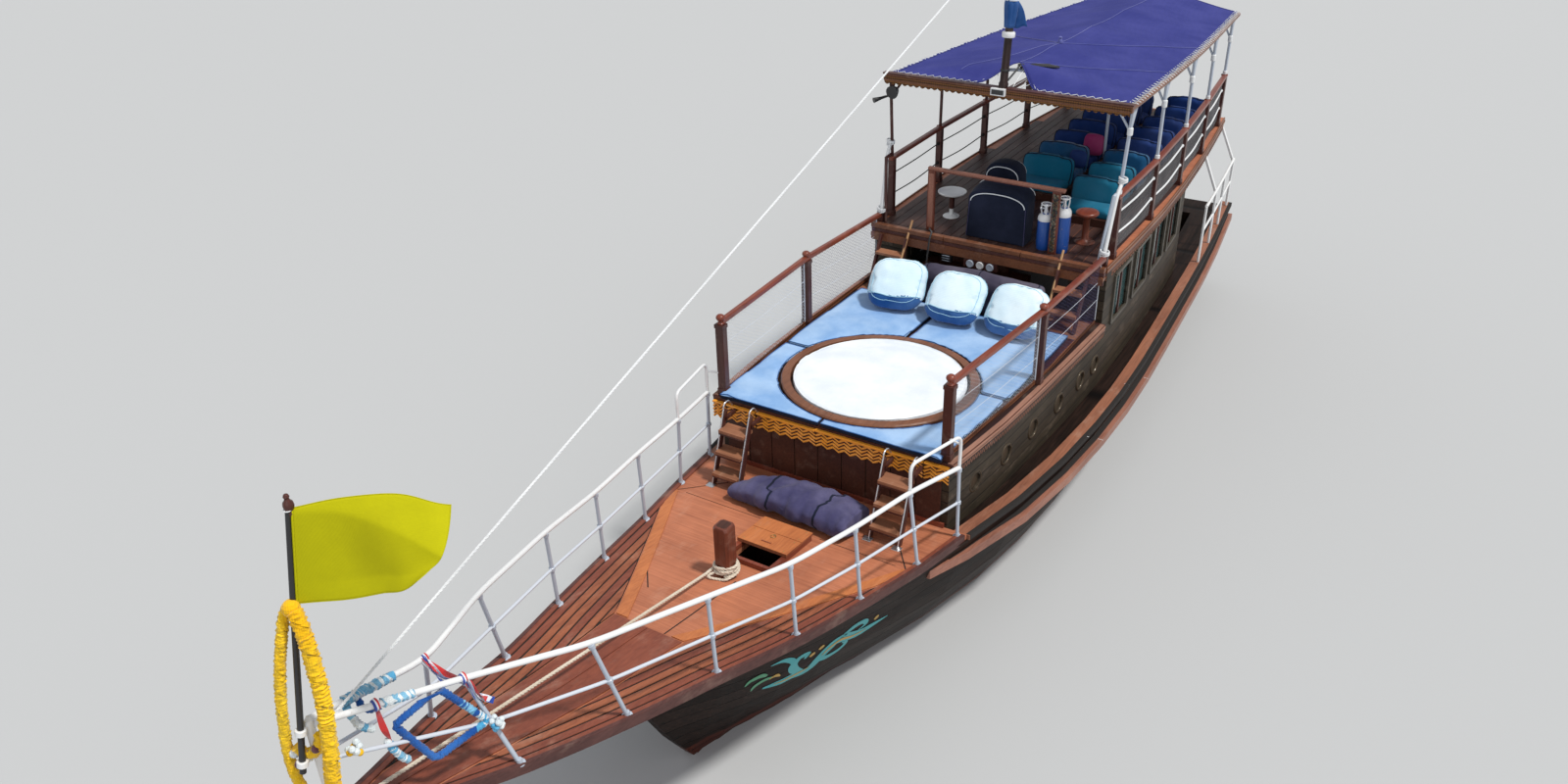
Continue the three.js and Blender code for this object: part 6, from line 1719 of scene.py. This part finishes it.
def rail_point(side, t):
    """A point of the pulpit's rail between its last post and the tip."""
    place = tops[-1].lerp(TIP, t)
    return Vector((place.x, side * place.y, place.z))


blue = Shape()
diamond = [rail_point(1, 0.2) + Vector((0, 0.02, -0.01)), Vector((7.8, 0.33, 2.865)),
           Vector((8.235, 0.245, 2.83)), Vector((8.405, 0.125, 3.235))]
corners = []
for a, b in zip(diamond, diamond[1:] + diamond[:1]):
    corners += [a.lerp(b, t) for t in between(0.06, 0.94, 8)]
flower_rope(blue, corners, 0.03, kinds=(0, (0, 1), (1, 2), 0, 0, 0, 0, 0), closed=True, seed=11)
for k in range(14):
    a = k * 1.1
    blue.ball((7.755 + 0.035 * cos(a), 0.365 + 0.035 * sin(a), 2.82 + 0.03 * sin(1.7 * a)), 0.024, 8,
              kind=(1, 2, 2)[k % 3])
flower_rope(blue, [rail_point(-1, t) for t in between(0.3, 0.78, 12)], 0.04, kinds=((1, 2),), seed=12)
flower_rope(blue, [rail_point(1, t) for t in between(0.36, 0.6, 8)], 0.036, kinds=((1, 2),), seed=13)
flower_rope(blue, spline([rail_point(-1, 0.62) + Vector((0, 0, -0.03)), Vector((8.5, 0.0, 3.4)),
                          rail_point(1, 0.58) + Vector((0, 0.01, -0.02))], 6), 0.026, seed=14)
flower_rope(blue, spline([rail_point(-1, 0.72) + Vector((0, 0, -0.05)), Vector((8.58, 0.02, 3.33)),
                          Vector((8.5, 0.1, 3.27))], 6), 0.03, kinds=((1, 2),), seed=15)
hanging_end = spline([(8.475, 0.115, 3.16), (8.455, 0.13, 3.06), (8.4, 0.14, 2.93), (8.35, 0.145, 2.88)], 5)
flower_rope(blue, hanging_end, 0.03, kinds=((2, 1),), seed=16)
blue.make("blue_garlands", BLUE_PETALS, CYAN_PETALS, WHITE_PETALS, sharp=70)

ribbons = Shape()


def ribbon(path, wide, kind, turn=0.0, twist=6.0):
    """A flat ribbon that twists along a path."""
    path = spline(path, 8)
    left, right = [], []
    for i, p in enumerate(path):
        along = (path[min(i + 1, len(path) - 1)] - path[max(i - 1, 0)]).normalized()
        side = along.orthogonal().normalized()
        rise = along.cross(side)
        a = turn + twist * i / len(path)
        across = (side * cos(a) + rise * sin(a)) * wide / 2
        left.append(p + across)
        right.append(p - across)
    ribbons.strip(left, right, 0.0015, kind=kind, rise=(0.3, 0.8, 0.5))


low, high = rail_point(1, 0.0), rail_point(-1, 0.0)
middle = (low + high) / 2
for k, kind in enumerate((0, 2, 1)):
    sag = Vector((0.02 * k, 0, -0.05 - 0.015 * k))
    ribbon([high + Vector((0.02, 0, 0.03)), middle + sag, low + Vector((0.01 * k, 0.01, 0.0)),
            low + Vector((-0.03, 0.06, -0.12 - 0.02 * k)),
            low + Vector((-0.07 - 0.03 * k, 0.12, -0.2 - 0.03 * k))],
           0.05, kind, turn=0.8 * k, twist=7.0)
for place in (low, high, rail_point(1, 0.62)):
    for k, kind in enumerate((0, 2, 1)):
        ring = [place + Vector((0.012 * k - 0.012 + 0.01 * cos(a), 0.034 * cos(a), 0.034 * sin(a)))
                for a in turns(14)]
        ribbons.tube(ring, 0.01, 6, closed=True, kind=kind)
ribbon([rail_point(1, 0.62), (8.475, 0.1, 3.3), (8.47, 0.12, 3.2), (8.45, 0.12, 3.1)], 0.045, 0, twist=3.0)
ribbons.make("bow_ribbons", RED_RIBBON, BLUE_RIBBON, WHITE_CLOTH, sharp=60)
# Painted flourish on both bows

BRUSH = 1.35                     # how broad the strokes are, against the widths below

planking = surface("hull")


def abeam(find, x, z, side):
    """Where a level ray from one side meets a skin, and the skin's normal there."""
    return find((x, side * 3.0, z), (0, -side, 0))


def painted(shape, path, widths, kind, side, lift):
    """A painted stroke that follows the hull: (x, z) centres with a width at each."""
    line = spline([(x, w * BRUSH, z) for (x, z), w in zip(path, widths)], 6)
    left, right = [], []
    for i, p in enumerate(line):
        before, after = line[max(i - 1, 0)], line[min(i + 1, len(line) - 1)]
        along = Vector((after.x - before.x, 0, after.z - before.z)).normalized()
        across = Vector((-along.z, 0, along.x)) * p.y / 2
        for row, at in ((left, p + across), (right, p - across)):
            place, normal = abeam(planking, at.x, at.z, side)
            row.append(place + normal.normalized() * lift)
    count = len(left)
    shape.add(left + right, [(i, i + 1, count + i + 1, count + i)[::-side] for i in range(count - 1)], kind)


STROKES = [
    (0, 0.004, [(4.72, .77), (4.53, .74), (4.37, .73), (4.2, .7), (4.13, .86), (4.07, .97), (3.98, 1.04),
                (3.71, .94), (3.53, .94), (3.32, .95)], [.02, .07, .08, .09, .1, .11, .1, .09, .06, .01]),
    (0, 0.004, [(4.3, .74), (4.42, .86), (4.48, .98), (4.45, 1.08), (4.36, 1.08), (4.36, 1.00)],
     [.05, .07, .07, .06, .05, .02]),
    (0, 0.004, [(4.48, 1.02), (4.56, 1.12), (4.66, 1.18), (4.78, 1.18)], [.04, .05, .04, .01]),
    (0, 0.004, [(4.16, .84), (4.02, .78), (3.88, .8), (3.83, .88), (3.9, .93)], [.05, .06, .05, .04, .01]),
    (0, 0.004, [(3.98, 1.04), (3.86, 1.14), (3.72, 1.14), (3.66, 1.06), (3.74, 1.02)],
     [.05, .06, .05, .04, .01]),
    (1, 0.006, [(4.6, .755), (4.45, .735), (4.3, .735), (4.2, .76)], [.005, .02, .022, .006]),
    (1, 0.006, [(4.12, .88), (4.06, .97), (3.96, 1.02), (3.78, .95), (3.6, .94)],
     [.006, .026, .03, .022, .006]),
    (2, 0.005, [(4.76, 1.01), (4.84, 1.06), (4.93, 1.04), (4.96, .97)], [.02, .05, .04, .01]),
    (2, 0.005, [(4.66, .92), (4.76, .94), (4.84, .9), (4.86, .83)], [.02, .04, .04, .01]),
    (1, 0.005, [(4.58, .88), (4.64, .93), (4.7, .91)], [.01, .035, .01]),
]
for side, word in SIDES:
    flourish = Shape()
    for kind, lift, path, widths in STROKES:
        painted(flourish, path, widths, kind, side, lift)
    for x, z in ((4.28, 1.00), (4.2, 1.06), (3.52, 1.05)):
        painted(flourish, [(x - .03, z), (x, z + 0.008), (x + .03, z)], [.01, .06, .01], 1, side, 0.005)
    flourish.make(f"bow_flourish_{word}", TURQUOISE, OCHRE, GREEN, sharp=180)

# Portholes: bronze rings with screws, and glass

PORTHOLES = [(1.76, 1.79), (1.06, 1.77), (.34, 1.74), (-.43, 1.7), (-1.13, 1.68), (-1.64, 1.67)]
side_wall = surface("forward_cabin", "hull")
for side, word in SIDES:
    ports = Shape()
    for x, z in PORTHOLES:
        place, normal = abeam(side_wall, x + 0.15, z, side)
        normal = normal.normalized()
        place = Vector((x, place.y, z)) + normal * 0.001
        ports.turned([(0.098, -0.03), (0.104, 0.006), (0.112, 0.018), (0.128, 0.018), (0.136, 0.01),
                      (0.136, -0.01)],
                     place, 28, axis=normal)
        ports.turned([(0.0, -0.012), (0.104, -0.012), (0.104, -0.02), (0.0, -0.022)], place, 28, axis=normal,
                     kind=1)
        up = normal.orthogonal().normalized()
        for k in range(8):
            a = 2 * pi * k / 8 + 0.2
            spot = place + 0.121 * (up * cos(a) + normal.cross(up) * sin(a)) + normal * 0.017
            ports.turned([(0.007, 0.0), (0.006, 0.004), (0.0, 0.005)], spot, 6, axis=normal)
    ports.make(f"portholes_{word}", OLD_BRONZE, GLASS, sharp=50)

# Saloon windows: timber frames, a middle bar and glass

SALOON_WINDOWS = [-2.45, -3.35, -4.25, -5.15]
WINDOW_HALF, WINDOW_LOW, WINDOW_HIGH = 0.33, 2.06, 2.74
saloon_skin = surface("saloon")
for side, word in SIDES:
    casings = Shape()
    for x in SALOON_WINDOWS:
        corners = []
        for dx, z in ((-1, WINDOW_LOW), (1, WINDOW_LOW), (1, WINDOW_HIGH), (-1, WINDOW_HIGH)):
            place = abeam(saloon_skin, x + dx * (WINDOW_HALF + 0.03), z, side)[0]
            corners.append(Vector((x + dx * WINDOW_HALF, place.y, z)))
        out = Vector((0, side * 0.01, 0))
        for a, b in zip(corners, corners[1:] + corners[:1]):
            casings.beam(a + out, b + out, 0.045, 0.03, up=(0, 1, 0))
        middle_low, middle_high = (corners[0] + corners[1]) / 2, (corners[2] + corners[3]) / 2
        casings.beam(middle_low - out, middle_high - out, 0.03, 0.026, up=(0, 1, 0), kind=1)
        inward = Vector((0, -side * 0.03, 0))
        glass = [c + inward + Vector((0.012 * s, 0, 0.012 * t))
                 for c, (s, t) in zip(corners, ((1, 1), (-1, 1), (-1, -1), (1, -1)))]
        casings.add(glass + [g + inward * 0.13 for g in glass], [(0, 1, 2, 3), (7, 6, 5, 4)], kind=2)
    casings.make(f"saloon_window_frames_{word}", FRAME, RAIL_DARK, PANE, bevel=0.003)

# Thin white joint marks on the rubbing strakes and the cap rails

for side, word in SIDES:
    marks = Shape()
    for node, pitch in ((f"cap_rail_{word}", 1.55), (f"rubbing_strake_{word}", 1.85)):
        skin = surface(node)
        low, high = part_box(node)
        x = low.x + 0.7
        while x < min(high.x, 6.0) - 0.4:
            top = skin((x, side * (high.y if side > 0 else -low.y) - side * 0.03, high.z + 1), (0, 0, -1))[0]
            if top is not None:
                marks.box(top - Vector((0.0025, 0.035, 0.002)), top + Vector((0.0025, 0.03, 0.0015)))
            x += pitch
    marks.make(f"rail_joints_{word}", ROPE_WHITE)

# Carved zigzag on the sun deck's edge, and dark strips along the strakes and the cap rails: partly the
# near-black hull side between them, partly painted shade in the gap

ZIGZAG = 0.028
STRAKE_BARE = 0.058              # how much of the strake's top stays bare outside its dark strip
CAP_SHADE_BREADTH = 0.046               # breadth of the dark strip of painted shade on the cap rail's outer edge


def rim_point(find, x, side):
    """Height of a timber's top and the distance of its outer edge from the middle of the boat."""
    for y in between(2.16, 1.4, 76):
        top = find((x, side * y, 1.8), (0, 0, -1))[0]
        if top:
            return top.z, abs(abeam(find, x, top.z - 0.03, side)[0].y)


for side, word in SIDES:
    carving = Shape()
    carving.tube([(x, side * (sun_y(x) + 0.014), sun_z(x) - 0.103 + ZIGZAG * (-1) ** i)
                  for i, x in enumerate(between(-1.66, 2.38, 152))], 0.0052, 4)
    carving.make(f"cabin_side_carving_{word}", PALE_EDGE)

    # The strip on each strake's top stands in for the near-black hull side under the cap, with its shade;
    # the strip on the cap's outer edge is painted shade of the gap.
    strake, cap = surface(f"rubbing_strake_{word}"), surface(f"cap_rail_{word}")
    dark_side_and_shade = Shape()
    lines = [[], []]
    for x in between(-8.8, 2.6, 90):
        top, edge = rim_point(strake, x, side)
        inner = abs(abeam(planking, x, top + 0.004, side)[0].y) + 0.002
        lines[0].append((x, side * inner, top + 0.001))
        lines[1].append((x, side * max(inner + 0.01, edge - STRAKE_BARE), top + 0.001))
    dark_side_and_shade.strip(*lines, 0.003)
    rims = [(x, *rim_point(cap, x, side)) for x in between(-8.84, 2.32, 90)]
    dark_side_and_shade.strip(*[[(x, side * (edge + out), top + 0.001) for x, top, edge in rims]
                   for out in (-CAP_SHADE_BREADTH, 0.003)],
                 0.003)
    dark_side_and_shade.strip(*[[(x, side * (edge + 0.001), top + lift) for x, top, edge in rims]
                   for lift in (0.001, -0.057)],
                 0.003, rise=(0, side, 0))
    dark_side_and_shade.make(f"strake_dark_side_and_shade_{word}", PITCH_AND_PAINTED_SHADE)

# Pole in the middle of the lounge, and two loose cushions

pole = Shape()
POLE_AT = Vector((-5.1, 0.41, UPPER_TOP))
pole_top = surface("awning")(POLE_AT, (0, 0, 1))[0]
pole.turned([(0.045, 0.004), (0.045, 0.014), (0.022, 0.02), (0.022, pole_top.z - UPPER_TOP - 0.004)],
            POLE_AT, 14)
pole.make("lounge_pole", GREY_PIPE)


def loose_cushion(name, at, wide, thick, look):
    rings = []
    for share, rise in ((0.1, -1.0), (0.45, -0.96), (0.75, -0.75), (0.93, -0.4), (1.0, -0.1), (1.0, 0.1),
                        (0.93, 0.4), (0.75, 0.75), (0.45, 0.96), (0.1, 1.0)):
        rings.append([Vector(at) + LOUNGE_TURN @ Vector((rise * thick / 2, signed(cos(a), 0.55) * wide / 2
                                                         * share, signed(sin(a), 0.55) * wide / 2 * share))
                                                         for a in turns(28)])
    Shape().loft(rings).make(name, look, rounds=1)


loose_cushion("magenta_cushion", (-5.115, 0.235, 3.385), 0.32, 0.13, MAGENTA)
loose_cushion("blue_cushion", (-4.5, 0.215, 3.345), 0.26, 0.12, INDIGO)
# Floor at the waterline, and light

floor_mesh = bpy.data.meshes.new("floor")
floor_ring = [(150 * cos(a * pi / 16), 150 * sin(a * pi / 16), 0.0) for a in range(32)]
floor_mesh.from_pydata(floor_ring, [], [tuple(range(32))])
floor = link("floor", floor_mesh)
floor_mesh.materials.append(Look("floor_plain", rough=0.9, **{"Base Color": (0.44, 0.45, 0.46)}).material)
floor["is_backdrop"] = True

world = bpy.data.worlds.new("studio")
world.use_nodes = True
world.node_tree.nodes["Background"].inputs[0].default_value = (0.93, 0.96, 1.0, 1.0)
world.node_tree.nodes["Background"].inputs[1].default_value = 0.55
scene.world = world
scene.view_settings.view_transform = "Standard"


def sun(name, direction, strength, spread, colour=(1.0, 1.0, 1.0)):
    light = bpy.data.lights.new(name, "SUN")
    light.energy = strength
    light.angle = radians(spread)
    light.color = colour
    lamp = link(name, light)
    lamp.rotation_mode = "QUATERNION"
    lamp.rotation_quaternion = (-Vector(direction)).to_track_quat("-Z", "Y")


sun("key_light", (-0.1, 0.5, 1.0), 3.0, 6.0, (1.0, 0.97, 0.92))
sun("fill_light", (1.0, 0.6, 0.5), 0.5, 40.0)

visual_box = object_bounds()
[[list(map(float, corner)) for corner in box] for box in (cad_box, visual_box)]
